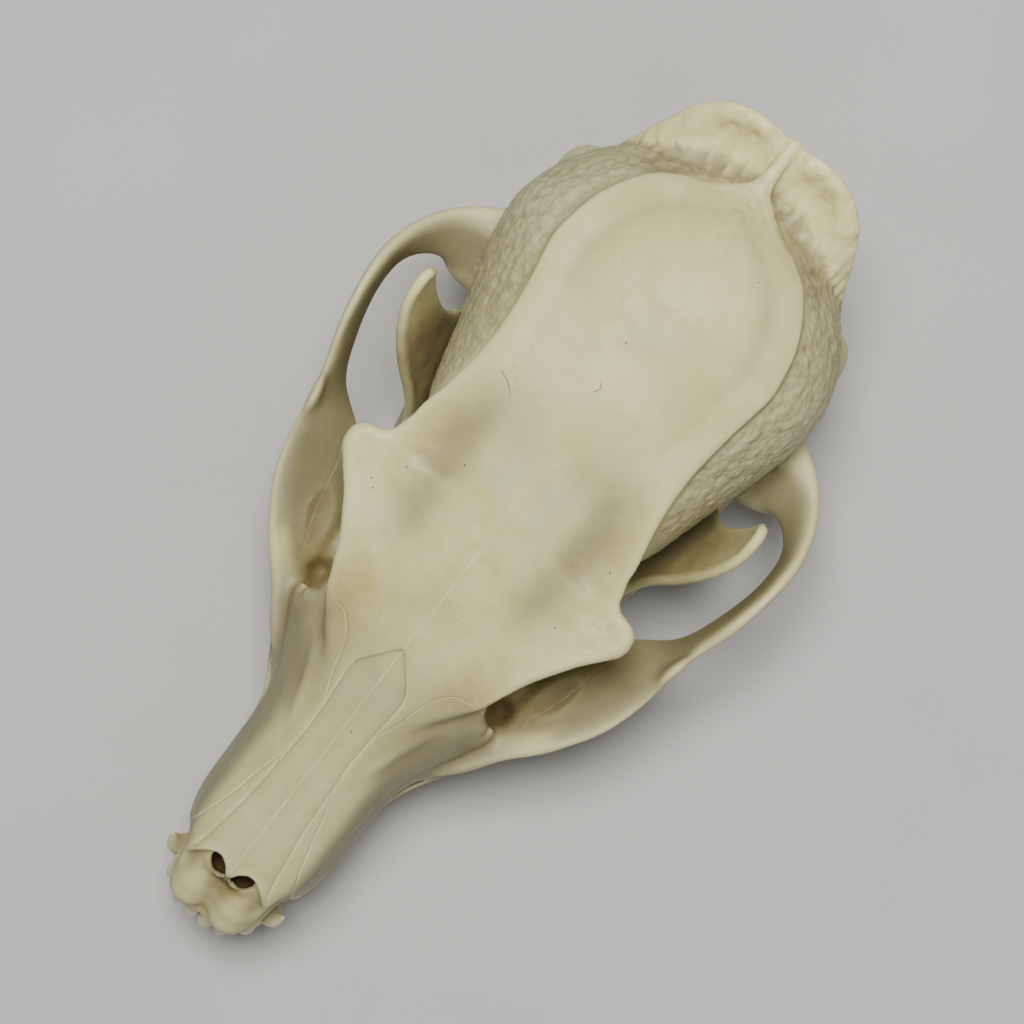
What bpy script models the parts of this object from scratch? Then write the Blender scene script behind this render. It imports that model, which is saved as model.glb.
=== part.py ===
"""Skull and lower jaw of an adult gray fox (Urocyon cinereoargenteus), life size, as it rests on a table.

Metres, +Z up. The nose points along -Y and the animal's left side is +X. The floor is z = 0 and touches the
lower edge of the jaw. Lengths below are written in millimetres and are multiplied by MM where a mesh is made.
The skull is modelled whole, from lofts and blades that are fused, and is then parted by thin cuts.
"""

import math

import bmesh
import bpy
import numpy as np
from mathutils import Matrix, Vector

MM = 0.001

# Driving sizes
GAP = 0.3
VOXEL = 0.55
WELD = 0.025
UPPER_ALVEOLUS_Z = 18.0
CONDYLE = Vector((20.8, 26.4, 20.6))
CONDYLE_RADIUS = 2.1

# Faces kept on each fused form, before the teeth are joined
CRANIUM_FACES = 7400
JAW_FACES = 1300
BALL_SIDES = 20

# Snout, by y: half width at tooth sockets, cheek and nasal bones, and height of cheek and roof
SNOUT_JAW_HALF = [
    (-58.0, 3.4), (-57.0, 5.2), (-55.0, 6.5), (-52.5, 6.9), (-50.6, 7.3), (-48.5, 8.7), (-45.0, 9.6),
    (-38.0, 9.9), (-33.0, 10.1), (-29.0, 11.2), (-25.0, 13.2), (-21.0, 14.9), (-18.4, 15.6),
    (-16.4, 15.8),
]
SNOUT_CHEEK_HALF = [
    (-58.0, 3.0), (-57.0, 4.8), (-55.0, 6.0), (-51.0, 6.4), (-48.0, 7.9), (-40.0, 8.6), (-32.0, 9.0),
    (-26.0, 10.6), (-21.0, 13.2), (-18.4, 14.6), (-16.4, 15.0),
]
SNOUT_CHEEK_Z = [(-58.0, 20.4), (-52.0, 23.5), (-45.0, 26.0), (-32.0, 28.2), (-24.0, 29.0), (-16.4, 29.8)]
SNOUT_ROOF_HALF = [
    (-58.0, 2.2), (-57.0, 3.6), (-54.0, 4.6), (-51.0, 4.9), (-46.0, 4.9), (-38.0, 4.4), (-28.0, 4.2),
    (-23.0, 5.6), (-18.4, 8.6), (-16.4, 9.8),
]
SNOUT_ROOF_Z = [
    (-58.0, 21.0), (-56.5, 22.6), (-54.0, 25.6), (-52.0, 28.6), (-50.6, 30.0), (-48.0, 30.8), (-40.0, 32.6),
    (-30.0, 35.4), (-24.0, 38.0), (-18.4, 40.6), (-16.4, 41.2),
]
# The rear end of the snout is the front rim of the eye socket, which leans back at the top
RIM_LEAN = 0.34
RIM_LEAN_START_Y = -36.0
RIM_MIDDLE_Z = 29.5

# Table between the temporal ridges, by y: half width, height of its edge and of its middle
TABLE_HALF = [
    (-25.0, 5.0), (-19.0, 9.8), (-15.5, 12.0), (-12.5, 13.2), (-9.0, 14.6), (-5.0, 17.2), (-1.5, 19.9),
    (0.6, 21.0), (1.8, 21.0), (2.7, 20.5), (3.3, 19.7), (3.7, 18.2), (4.2, 17.3), (5.4, 16.8), (7.0, 16.4),
    (9.1, 16.2), (10.8, 15.8), (15.0, 14.8), (21.0, 14.1), (26.0, 14.4), (34.0, 15.8), (38.5, 15.4),
    (42.6, 13.9), (46.4, 11.0), (49.0, 8.0), (50.8, 4.9), (52.2, 2.5), (54.2, 1.4), (57.0, 1.0), (59.2, 0.9),
]
TABLE_EDGE_Z = [
    (-25.0, 35.2), (-19.0, 38.2), (-14.0, 41.4), (-6.0, 44.2), (1.5, 45.2), (6.0, 46.6), (12.0, 48.8),
    (20.0, 50.6), (30.0, 51.3), (38.0, 51.0), (46.0, 49.8), (52.6, 49.3), (56.0, 49.2), (59.2, 49.6),
]
TABLE_MIDDLE_Z = [
    (-25.0, 36.2), (-19.0, 39.4), (-14.0, 42.1), (-6.0, 45.9), (2.0, 48.4), (10.0, 51.0), (20.0, 53.8),
    (28.0, 55.2), (34.0, 55.5), (40.0, 54.8), (46.0, 52.8), (50.0, 51.0), (52.6, 50.1), (56.0, 49.8), (59.2, 50.2),
]
TABLE_RIM = 1.5
DISH_DEPTH = 0.9
DISH_MIDDLE_Y = 5.0
DISH_LENGTH = 11.0

# Braincase and the wall between the orbits, by y: half width, top, bottom and the height of the widest place
CASE_HALF = [
    (-19.0, 7.6), (-12.0, 8.8), (-5.0, 10.0), (1.0, 11.6), (6.0, 14.2), (11.0, 16.5), (17.6, 18.4),
    (23.5, 20.0), (29.0, 21.7), (35.0, 22.6), (40.0, 21.8), (45.0, 19.4), (49.0, 15.6), (52.0, 10.4), (53.6, 4.6),
]
CASE_TOP = [
    (-19.0, 39.0), (-12.0, 42.4), (-5.0, 45.4), (5.0, 48.6), (15.0, 51.8), (25.0, 54.2), (33.0, 54.9),
    (40.0, 53.9), (45.0, 52.0), (49.0, 49.2), (52.0, 45.2), (53.6, 41.0),
]
CASE_BOTTOM = [
    (-19.0, 27.0), (-8.0, 25.5), (5.0, 24.2), (15.0, 22.8), (25.0, 21.8), (44.0, 21.8), (50.0, 25.0), (53.6, 31.0),
]
CASE_WIDEST_Z = [(-19.0, 34.0), (0.0, 36.0), (20.0, 36.5), (35.0, 37.0), (45.0, 36.0), (53.6, 36.0)]

# Palate and molar floor, by y: half width and top
FLOOR_HALF = [
    (-27.0, 11.6), (-22.0, 14.6), (-16.0, 16.8), (-11.0, 17.3), (-7.0, 16.2), (-4.0, 13.6), (-2.4, 8.5),
]
FLOOR_TOP = [(-27.0, 26.0), (-20.0, 26.0), (-12.0, 24.8), (-6.0, 24.0), (-2.4, 22.6)]

# Skull base behind the palate, by y: half width and lowest height
BASE_HALF = [(-7.0, 9.0), (0.0, 6.6), (6.0, 5.9), (14.0, 7.4), (26.0, 9.6), (44.0, 9.4), (51.5, 6.0)]
BASE_BOTTOM = [(-7.0, 19.6), (0.0, 22.0), (6.0, 22.4), (20.0, 21.0), (44.0, 21.4), (51.5, 24.0)]
BASE_TOP_Z = 31.0

# Nuchal crest, from the middle down to the mastoid: free edge, root in the braincase, and thickness of both
CREST = [
    ((0.0, 60.1, 50.0), (0.0, 50.0, 43.2), 1.8, 7.0),
    ((4.8, 60.1, 50.2), (3.6, 50.0, 42.2), 1.6, 4.6),
    ((9.1, 59.0, 49.4), (7.0, 49.2, 41.4), 1.5, 4.2),
    ((12.0, 56.8, 47.0), (9.3, 47.8, 40.2), 1.5, 4.4),
    ((14.1, 53.7, 43.4), (10.1, 45.7, 38.3), 1.5, 5.0),
    ((15.8, 50.4, 39.2), (10.6, 43.6, 36.0), 1.7, 6.0),
    ((17.4, 47.6, 34.4), (11.6, 42.4, 33.0), 2.0, 6.5),
    ((19.2, 45.8, 29.6), (12.4, 41.6, 30.0), 3.0, 7.0),
    ((18.8, 44.8, 24.6), (12.4, 41.2, 27.0), 4.0, 7.0),
]

# Zygomatic arch, from the cheek to its root on the braincase: upper edge, lower edge, and thickness of both
ARCH = [
    ((9.4, -29.0, 24.2), (6.6, -26.0, 20.6), 3.0, 6.0),
    ((14.5, -24.0, 25.8), (9.6, -21.6, 20.8), 3.4, 6.0),
    ((17.8, -19.7, 27.0), (11.8, -17.4, 21.0), 2.4, 6.0),
    ((21.7, -15.2, 28.4), (14.0, -13.2, 21.6), 1.8, 4.6),
    ((25.3, -9.8, 30.0), (15.6, -8.4, 22.0), 1.6, 3.2),
    ((27.2, -4.4, 31.4), (17.2, -3.6, 22.6), 1.5, 2.6),
    ((28.0, 0.6, 33.6), (20.8, 1.2, 23.4), 1.6, 2.0),
    ((28.6, 5.4, 33.2), (26.2, 5.4, 25.4), 1.6, 1.8),
    ((30.1, 11.0, 35.2), (28.8, 11.0, 27.4), 1.7, 2.0),
    ((31.1, 17.0, 35.8), (30.2, 17.0, 28.4), 1.8, 2.0),
    ((31.3, 22.0, 34.6), (29.9, 22.0, 28.0), 1.9, 2.4),
    ((30.0, 27.2, 32.8), (27.2, 24.9, 26.6), 2.2, 3.6),
    ((27.0, 31.6, 31.4), (23.0, 25.3, 25.8), 2.6, 4.8),
    ((21.5, 35.2, 30.8), (16.4, 26.8, 25.6), 4.0, 6.0),
]

# Pterygoid wing, from the palate back to its hook
PTERYGOID = [
    ((6.6, -4.6, 19.6), (6.0, -4.6, 25.0), 1.6, 3.0),
    ((5.6, 1.0, 18.6), (5.2, 0.6, 25.0), 1.3, 2.4),
    ((5.0, 6.0, 18.0), (4.8, 5.6, 24.5), 1.2, 2.4),
    ((5.0, 9.8, 18.0), (5.0, 10.4, 24.0), 1.2, 2.4),
    ((5.4, 12.4, 20.8), (5.6, 13.6, 24.0), 1.2, 2.4),
]

# Paroccipital process behind the bulla
PAROCCIPITAL = [
    ((18.6, 45.0, 27.0), (12.0, 44.0, 27.0), 4.0, 5.0),
    ((17.4, 46.0, 23.0), (12.2, 45.6, 23.4), 2.6, 3.6),
    ((14.8, 46.8, 19.6), (12.6, 46.6, 19.8), 1.8, 2.4),
    ((13.8, 47.0, 17.6), (13.0, 47.0, 17.7), 1.0, 1.2),
]

# Balls: middle and radii
BULLA = ((11.4, 35.4, 21.6), (6.3, 9.0, 6.2))
BULLA_TURN = math.radians(12.0)
OCCIPITAL_CONDYLE = ((6.3, 51.6, 26.0), (3.3, 3.9, 4.7))
SUPRAOCCIPITAL = ((0.0, 48.6, 37.0), (13.4, 6.4, 10.4))
MASTOID = ((18.1, 43.2, 28.6), (3.6, 4.2, 5.4))
GLENOID = ((21.4, 27.8, 25.6), (6.2, 4.3, 3.8))
POSTGLENOID = ((19.6, 30.0, 21.0), (4.0, 1.5, 3.8))
PREMAXILLA_UPPER_PAD = ((2.8, -52.2, 25.3), (2.6, 3.0, 3.0))
PREMAXILLA_LOWER_PAD = ((3.0, -55.3, 22.6), (2.8, 2.9, 3.2))
INCISOR_BORDER = ((2.4, -56.9, 20.2), (3.2, 1.6, 2.2))
PREMAXILLA_MIDDLE_PAD = ((3.0, -53.9, 24.3), (2.6, 2.8, 3.1))
PREMAXILLA = (PREMAXILLA_UPPER_PAD, PREMAXILLA_MIDDLE_PAD, PREMAXILLA_LOWER_PAD, INCISOR_BORDER)

# Hollows: middle and radii
FORAMEN_MAGNUM = ((0.0, 54.0, 30.6), (5.4, 9.0, 4.6))
EAR_OPENING = ((19.6, 37.8, 26.2), (4.4, 2.3, 2.3))
ORBIT = ((16.7, -9.2, 33.2), (4.8, 8.6, 8.2))
ORBIT_TURN = math.radians(-20.0)
ORBIT_PIT = ((14.0, -14.8, 27.6), (2.0, 2.6, 4.4))
BOWL = ((7.3, 53.4, 54.6), (8.2, 4.8, 9.4))
BOWL_TURN = math.radians(-29.0)
INFRAORBITAL = ((10.9, -29.6, 22.8), (1.5, 2.8, 1.5))
NASAL_PASSAGE = ((1.9, -46.6, 26.9), (1.2, 5.2, 2.4))
NASAL_MOUTH = ((1.8, -50.5, 28.6), (1.35, 0.7, 4.4))
NASAL_MOUTH_TURN = math.radians(46.0)
TURNED_HOLLOWS = ((ORBIT, ORBIT_TURN), (BOWL, BOWL_TURN), (NASAL_MOUTH, NASAL_MOUTH_TURN))

# Lower jaw body, from the chin to the neck of the condyle: lower edge, upper edge, and thickness of both
JAW = [
    ((1.9, -55.6, 8.8), (2.3, -57.0, 12.6), 2.2, 2.8),
    ((2.6, -53.0, 5.6), (3.6, -54.2, 12.6), 3.6, 5.2),
    ((3.4, -47.6, 2.4), (4.5, -49.6, 12.2), 3.8, 4.2),
    ((5.2, -41.4, 0.9), (6.5, -42.8, 11.8), 3.8, 4.6),
    ((7.6, -34.0, 0.1), (7.9, -34.6, 11.4), 3.6, 4.2),
    ((9.9, -25.0, -0.4), (9.7, -25.0, 11.4), 3.6, 4.4),
    ((12.2, -15.0, -0.4), (11.6, -15.0, 11.8), 3.8, 4.8),
    ((14.6, -5.0, 0.6), (13.8, -5.0, 12.8), 3.6, 4.4),
    ((16.4, 2.0, 1.7), (15.8, 2.0, 15.0), 3.2, 3.6),
    ((17.8, 8.0, 1.0), (17.6, 8.0, 20.0), 2.8, 2.8),
    ((18.9, 13.0, -0.4), (18.9, 13.0, 23.6), 2.6, 2.4),
    ((19.8, 17.6, -0.3), (19.8, 17.6, 24.4), 2.4, 2.4),
    ((20.0, 20.4, 3.6), (19.8, 20.8, 22.8), 2.0, 2.4),
    ((19.8, 25.4, 11.6), (19.6, 25.4, 21.4), 1.8, 2.6),
]

# Coronoid process, from the jaw up to its tip: front edge, rear edge, and thickness of both
CORONOID = [
    ((16.2, 1.0, 12.0), (19.6, 20.0, 12.0), 3.4, 2.4),
    ((16.7, 4.6, 18.0), (20.0, 21.8, 18.0), 2.8, 2.0),
    ((17.4, 7.2, 23.6), (20.2, 21.6, 23.0), 2.2, 1.8),
    ((20.0, 9.6, 29.6), (20.9, 20.4, 29.0), 1.9, 1.6),
    ((22.1, 11.7, 34.4), (21.8, 20.0, 34.0), 1.6, 1.4),
    ((24.0, 14.8, 38.8), (23.4, 21.0, 38.4), 1.5, 1.3),
    ((25.2, 19.0, 42.0), (24.8, 23.0, 41.4), 1.4, 1.3),
]

# Angular process: upper edge, lower edge, and thickness of both
ANGULAR = [
    ((20.0, 17.0, 12.0), (19.8, 17.0, 3.6), 2.4, 2.4),
    ((20.5, 21.6, 11.0), (20.4, 21.6, 4.6), 2.2, 2.2),
    ((20.8, 25.6, 10.0), (20.7, 25.6, 6.2), 1.8, 1.8),
    ((21.0, 28.6, 10.2), (21.0, 28.6, 8.2), 1.2, 1.2),
]
MASSETERIC_HOLLOW = ((26.5, 13.4, 15.2), (7.0, 8.2, 10.0))

# Teeth, front to back: base, tip, length and width at the neck, and how blunt the tip is
SHARP = 0.18
BLUNT = 0.42
BROAD = 0.66
UPPER_CUSPS = [
    ((1.15, -57.8, 18.6), (1.1, -60.0, 15.2), 1.8, 2.1, BROAD),
    ((3.3, -57.2, 18.6), (3.4, -59.4, 15.1), 1.9, 2.1, BROAD),
    ((5.4, -55.8, 18.6), (6.0, -57.3, 14.4), 2.5, 2.2, BLUNT),
    ((7.6, -48.2, 19.0), (8.0, -49.1, 7.8), 3.8, 2.5, SHARP),
    ((8.2, -44.4, 18.2), (8.3, -44.5, 15.4), 2.6, 1.8, BLUNT),
    ((8.3, -38.2, 18.2), (8.5, -38.5, 14.0), 5.8, 2.2, SHARP),
    ((9.4, -29.8, 18.2), (9.7, -30.2, 13.2), 6.6, 2.4, SHARP),
    ((12.6, -22.0, 18.4), (13.2, -22.6, 11.4), 5.8, 3.0, SHARP),
    ((14.2, -17.6, 18.4), (14.9, -17.2, 13.6), 5.2, 2.8, BLUNT),
    ((11.0, -24.2, 18.4), (10.7, -24.4, 15.6), 2.4, 2.4, BLUNT),
    ((15.7, -14.2, 18.4), (15.9, -14.2, 14.2), 4.0, 3.4, BLUNT),
    ((15.8, -10.6, 18.4), (15.9, -10.7, 14.6), 3.8, 3.2, BLUNT),
    ((12.2, -12.8, 18.6), (12.2, -12.8, 15.4), 5.2, 5.4, BROAD),
    ((14.1, -7.4, 18.6), (14.2, -7.4, 15.3), 3.2, 3.2, BLUNT),
    ((11.4, -6.9, 18.8), (11.3, -6.9, 15.9), 3.6, 4.0, BROAD),
]
LOWER_CUSPS = [
    ((0.95, -56.4, 12.2), (0.9, -57.5, 15.8), 1.3, 1.4, BROAD),
    ((2.35, -56.2, 12.2), (2.45, -57.2, 15.8), 1.5, 1.5, BROAD),
    ((3.8, -55.4, 12.2), (4.1, -56.3, 15.8), 1.8, 1.6, BLUNT),
    ((5.3, -52.4, 11.6), (8.6, -52.6, 20.4), 3.4, 2.6, BLUNT),
    ((6.2, -47.2, 11.8), (6.3, -47.3, 14.2), 2.4, 1.7, BLUNT),
    ((6.7, -42.2, 11.6), (6.8, -42.5, 15.2), 4.8, 2.0, SHARP),
    ((7.3, -34.4, 11.6), (7.4, -34.8, 15.6), 5.4, 2.1, SHARP),
    ((8.2, -26.6, 11.6), (8.2, -27.0, 16.0), 5.6, 2.3, SHARP),
    ((9.2, -21.4, 11.8), (9.3, -21.9, 16.4), 3.4, 2.7, BLUNT),
    ((10.0, -18.0, 11.8), (10.1, -18.1, 18.2), 4.6, 2.9, SHARP),
    ((10.9, -14.2, 11.8), (10.9, -14.2, 14.6), 4.6, 3.4, BROAD),
    ((12.2, -9.2, 12.2), (12.1, -9.4, 15.0), 4.8, 3.6, BROAD),
    ((13.3, -5.0, 12.8), (13.2, -5.0, 14.8), 2.4, 2.3, BROAD),
]
ROOT_DEPTH = 1.8
TOOTH_SIDES = 8

# Where the thin cuts part the skull, as seen from the side and from above
FACE_CUT_TOP = (-15.0, 62.0)
FACE_CUT_BEND = (-15.0, 45.0)
FACE_CUT_FOOT = (-1.2, 17.0)
OCCIPUT_CUT_Y = 48.2
ARCH_CUT_FRONT_Y = -20.4
ARCH_CUT_REAR_Y = 23.0
ARCH_CUT_INNER = [(23.6, 23.0), (23.0, 10.0), (14.8, -1.8), (14.8, -7.0), (17.0, -13.0), (14.6, -20.4)]
ARCH_CUT_BOTTOM_Z = 20.8
ARCH_CUT_TOP_Z = 39.0
FAR = 80.0

# Colours of clean bone, lightly stained
BONE = (0.80, 0.76, 0.62)
JAW_BONE = (0.78, 0.73, 0.58)
BONE_ROUGHNESS = 0.48


def clear_scene():
    for obj in list(bpy.data.objects):
        bpy.data.objects.remove(obj)
    for mesh in list(bpy.data.meshes):
        bpy.data.meshes.remove(mesh)


def new_collection(name):
    made = bpy.data.collections.new(name)
    bpy.context.scene.collection.children.link(made)
    return made


def smooth(points):
    """A smooth function through the points, with no overshoot between them."""
    xs = np.array([p[0] for p in points])
    ys = np.array([p[1] for p in points])
    steps = np.diff(xs)
    slopes = np.diff(ys) / steps
    tangents = np.concatenate([slopes[:1], 0.5 * (slopes[1:] + slopes[:-1]), slopes[-1:]])
    turns = slopes[1:] * slopes[:-1] <= 0.0
    tangents[1:-1][turns] = 0.0
    limit = 3.0 * np.minimum(np.abs(slopes[1:]), np.abs(slopes[:-1]))
    tangents[1:-1] = np.clip(tangents[1:-1], -limit, limit)

    def value(x):
        x = min(max(x, xs[0]), xs[-1])
        i = min(int(np.searchsorted(xs, x, side="right")) - 1, len(steps) - 1)
        t = (x - xs[i]) / steps[i]
        rise = (2 * t**3 - 3 * t**2 + 1) * ys[i] + (3 * t**2 - 2 * t**3) * ys[i + 1]
        bend = (t**3 - 2 * t**2 + t) * tangents[i] + (t**3 - t**2) * tangents[i + 1]
        return float(rise + bend * steps[i])

    return value


def through(points, count):
    """Evenly spread points on a Catmull-Rom curve through the given ones."""
    points = np.array(points, float)
    padded = np.vstack([2 * points[0] - points[1], points, 2 * points[-1] - points[-2]])
    made = []
    for at in np.linspace(0.0, len(points) - 1.0, count):
        i = min(int(at), len(points) - 2)
        t = at - i
        a, b, c, d = padded[i : i + 4]
        bend = (2 * a - 5 * b + 4 * c - d) * t**2 + (3 * b - 3 * c + d - a) * t**3
        made.append(0.5 * (2 * b + (c - a) * t + bend))
    return np.array(made)


def power(value, exponent):
    return math.copysign(abs(value) ** exponent, value)


def mesh_object(name, bm, collection):
    """Closes a bmesh made in millimetres as an object in metres, with its faces pointing out."""
    bmesh.ops.recalc_face_normals(bm, faces=bm.faces)
    bmesh.ops.scale(bm, vec=(MM, MM, MM), verts=bm.verts)
    mesh = bpy.data.meshes.new(name)
    bm.to_mesh(mesh)
    bm.free()
    obj = bpy.data.objects.new(name, mesh)
    collection.objects.link(obj)
    return obj


def loft(name, rings, collection):
    """A closed skin over rings of equal point counts, with a fan of triangles over each end."""
    bm = bmesh.new()
    rows = [[bm.verts.new(point) for point in ring] for ring in rings]
    sides = len(rows[0])
    for low, high in zip(rows, rows[1:]):
        for i in range(sides):
            j = (i + 1) % sides
            bm.faces.new((low[i], low[j], high[j], high[i]))
    for row in (rows[0], rows[-1]):
        middle = bm.verts.new(sum((v.co for v in row), Vector()) / sides)
        for i in range(sides):
            bm.faces.new((row[i], row[(i + 1) % sides], middle))
    return mesh_object(name, bm, collection)


def ball(name, middle, radii, collection, turn=0.0):
    bm = bmesh.new()
    bmesh.ops.create_uvsphere(bm, u_segments=BALL_SIDES, v_segments=BALL_SIDES // 2 + 2, radius=1.0)
    place = Matrix.Translation(middle) @ Matrix.Rotation(turn, 4, "Z") @ Matrix.Diagonal((*radii, 1.0))
    bmesh.ops.transform(bm, matrix=place, verts=bm.verts)
    return mesh_object(name, bm, collection)


def prism(name, outline, axis, low, high, collection):
    """A closed prism over an outline, along X over (y, z) points or along Z over (x, y) points."""
    bm = bmesh.new()
    ends = []
    for level in (low, high):
        points = [(level, *p) if axis == "X" else (*p, level) for p in outline]
        ends.append([bm.verts.new(p) for p in points])
    bm.faces.new(ends[0])
    bm.faces.new(ends[1])
    for i in range(len(outline)):
        j = (i + 1) % len(outline)
        bm.faces.new((ends[0][i], ends[0][j], ends[1][j], ends[1][i]))
    return mesh_object(name, bm, collection)


def blade(name, stations, collection, count, side=1.0, sides=16):
    """A thin rounded plate between two edges, whose thickness changes from one edge to the other."""
    flat = [(*edge, *root, at_edge, at_root) for edge, root, at_edge, at_root in stations]
    rows = through(flat, count)
    middles = 0.5 * (rows[:, 0:3] + rows[:, 3:6])
    rings = []
    for i, row in enumerate(rows):
        along = middles[min(i + 1, count - 1)] - middles[max(i - 1, 0)]
        across = row[0:3] - row[3:6]
        reach = 0.5 * np.linalg.norm(across)
        across /= 2.0 * reach
        out = np.cross(along, across)
        out /= np.linalg.norm(out)
        ring = []
        for k in range(sides):
            angle = 2.0 * math.pi * k / sides
            toward = power(math.cos(angle), 0.75)
            thick = row[7] + (row[6] - row[7]) * 0.5 * (1.0 + toward)
            point = middles[i] + across * reach * toward + out * 0.5 * thick * power(math.sin(angle), 0.8)
            ring.append((point[0] * side, point[1], point[2]))
        rings.append(ring)
    return loft(name, rings, collection)


def mirrored_ring(half):
    """Closes the outline of the left half, from the top middle to the bottom middle, with its mirror image."""
    return half + [(-x, y, z) for x, y, z in reversed(half[1:-1])]


def snout(collection):
    jaw_half, cheek_half = smooth(SNOUT_JAW_HALF), smooth(SNOUT_CHEEK_HALF)
    cheek_z, roof_half, roof_z = smooth(SNOUT_CHEEK_Z), smooth(SNOUT_ROOF_HALF), smooth(SNOUT_ROOF_Z)
    rings = []
    for y in np.linspace(SNOUT_ROOF_Z[0][0], SNOUT_ROOF_Z[-1][0], 44):
        top, jaw = roof_z(y), jaw_half(y)
        outline = [
            (0.0, top),
            (0.55 * roof_half(y), top - 0.1),
            (roof_half(y), top - 0.8),
            (0.5 * (roof_half(y) + cheek_half(y)) + 0.7, 0.5 * (top + cheek_z(y)) + 0.6),
            (cheek_half(y), cheek_z(y)),
            (jaw, UPPER_ALVEOLUS_Z + 3.6),
            (jaw - 0.3, UPPER_ALVEOLUS_Z + 1.0),
            (jaw - 1.4, UPPER_ALVEOLUS_Z),
            (jaw - 3.2, UPPER_ALVEOLUS_Z + 0.4),
            (0.5 * jaw - 0.5, UPPER_ALVEOLUS_Z + 1.6),
            (0.0, UPPER_ALVEOLUS_Z + 1.8),
        ]
        lean = RIM_LEAN * max(0.0, (y - RIM_LEAN_START_Y) / (SNOUT_ROOF_Z[-1][0] - RIM_LEAN_START_Y))
        half = through(outline, 19)
        rings.append(mirrored_ring([(x, y + lean * (z - RIM_MIDDLE_Z), z) for x, z in half]))
    return loft("snout", rings, collection)


def molar_floor(collection):
    half, top = smooth(FLOOR_HALF), smooth(FLOOR_TOP)
    rings = []
    for y in np.linspace(FLOOR_HALF[0][0], FLOOR_HALF[-1][0], 16):
        wide = half(y)
        outline = [
            (0.0, top(y)),
            (0.7 * wide, top(y)),
            (wide - 0.6, top(y) - 1.6),
            (wide, UPPER_ALVEOLUS_Z + 2.4),
            (wide - 1.0, UPPER_ALVEOLUS_Z + 0.2),
            (wide - 3.0, UPPER_ALVEOLUS_Z),
            (0.55 * wide, UPPER_ALVEOLUS_Z + 1.4),
            (0.0, UPPER_ALVEOLUS_Z + 1.8),
        ]
        rings.append(mirrored_ring([(x, y, z) for x, z in through(outline, 13)]))
    return loft("molar_floor", rings, collection)


def table(collection):
    """The smooth roof between the temporal ridges, a slab with a dished surface and a rounded rim."""
    half, edge, middle = smooth(TABLE_HALF), smooth(TABLE_EDGE_Z), smooth(TABLE_MIDDLE_Z)
    rings = []
    for y in np.linspace(TABLE_HALF[0][0], TABLE_HALF[-1][0], 64):
        wide, low = half(y), edge(y)
        rise = middle(y) - low
        dish = DISH_DEPTH * math.exp(-(((y - DISH_MIDDLE_Y) / DISH_LENGTH) ** 2))
        outline = []
        for share in (0.0, 0.25, 0.45, 0.65, 0.8, 0.92):
            hollow = dish * math.exp(-(((share - 0.68) / 0.2) ** 2))
            outline.append((wide * share, low + rise * (1.0 - share**2.2) - hollow))
        outline.append((wide - 0.1, low - 0.35 * TABLE_RIM))
        outline.append((max(wide - 0.7, 0.74 * wide), low - TABLE_RIM))
        outline.append((0.72 * wide, low - TABLE_RIM - 0.26 * wide))
        outline.append((0.0, low - TABLE_RIM - 0.34 * wide))
        rings.append(mirrored_ring([(x, y, z) for x, z in outline]))
    return loft("table", rings, collection)


def case(collection):
    half, top = smooth(CASE_HALF), smooth(CASE_TOP)
    bottom, widest = smooth(CASE_BOTTOM), smooth(CASE_WIDEST_Z)
    rings = []
    for y in np.linspace(CASE_HALF[0][0], CASE_HALF[-1][0], 46):
        ring = []
        for k in range(40):
            angle = 2.0 * math.pi * k / 40
            up = math.sin(angle)
            reach = (top(y) if up > 0.0 else 2.0 * widest(y) - bottom(y)) - widest(y)
            ring.append((half(y) * power(math.cos(angle), 0.92), y, widest(y) + reach * power(up, 0.92)))
        rings.append(ring)
    return loft("case", rings, collection)


def skull_base(collection):
    half, bottom = smooth(BASE_HALF), smooth(BASE_BOTTOM)
    rings = []
    for y in np.linspace(BASE_HALF[0][0], BASE_HALF[-1][0], 26):
        reach = 0.5 * (BASE_TOP_Z - bottom(y))
        ring = []
        for k in range(24):
            angle = 2.0 * math.pi * k / 24
            ring.append(
                (
                    half(y) * power(math.cos(angle), 0.7),
                    y,
                    bottom(y) + reach + reach * power(math.sin(angle), 0.7),
                )
            )
        rings.append(ring)
    return loft("skull_base", rings, collection)


def cusp(name, base, tip, length, width, blunt, collection, side):
    """One tooth or one cusp of a molar, from a root sunk in the bone to its tip."""
    base, tip = np.array(base), np.array(tip)
    crown = tip - base
    root = -ROOT_DEPTH / np.linalg.norm(crown)
    sizes = ((root, 0.7), (0.0, 0.92), (0.3, 1.0), (0.72, 0.5 * (1.0 + blunt)), (0.97, 0.8 * blunt))
    rings = []
    for share, size in sizes:
        middle = base + crown * share
        ring = []
        for k in range(TOOTH_SIDES):
            angle = 2.0 * math.pi * (k + 0.5) / TOOTH_SIDES
            across = 0.5 * width * size * math.cos(angle)
            along = 0.5 * length * size * math.sin(angle)
            ring.append(((middle[0] + across) * side, middle[1] + along, middle[2]))
        rings.append(ring)
    return loft(name, rings, collection)


def teeth(name, cusps, collection, side):
    return [cusp(f"{name}_{i}", *row, collection, side) for i, row in enumerate(cusps)]


def fixed(obj):
    """Replaces the object's mesh with what its modifiers make of it, and drops the modifiers."""
    graph = bpy.context.evaluated_depsgraph_get()
    mesh = bpy.data.meshes.new_from_object(obj.evaluated_get(graph))
    obj.modifiers.clear()
    obj.data = mesh
    return obj


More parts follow.
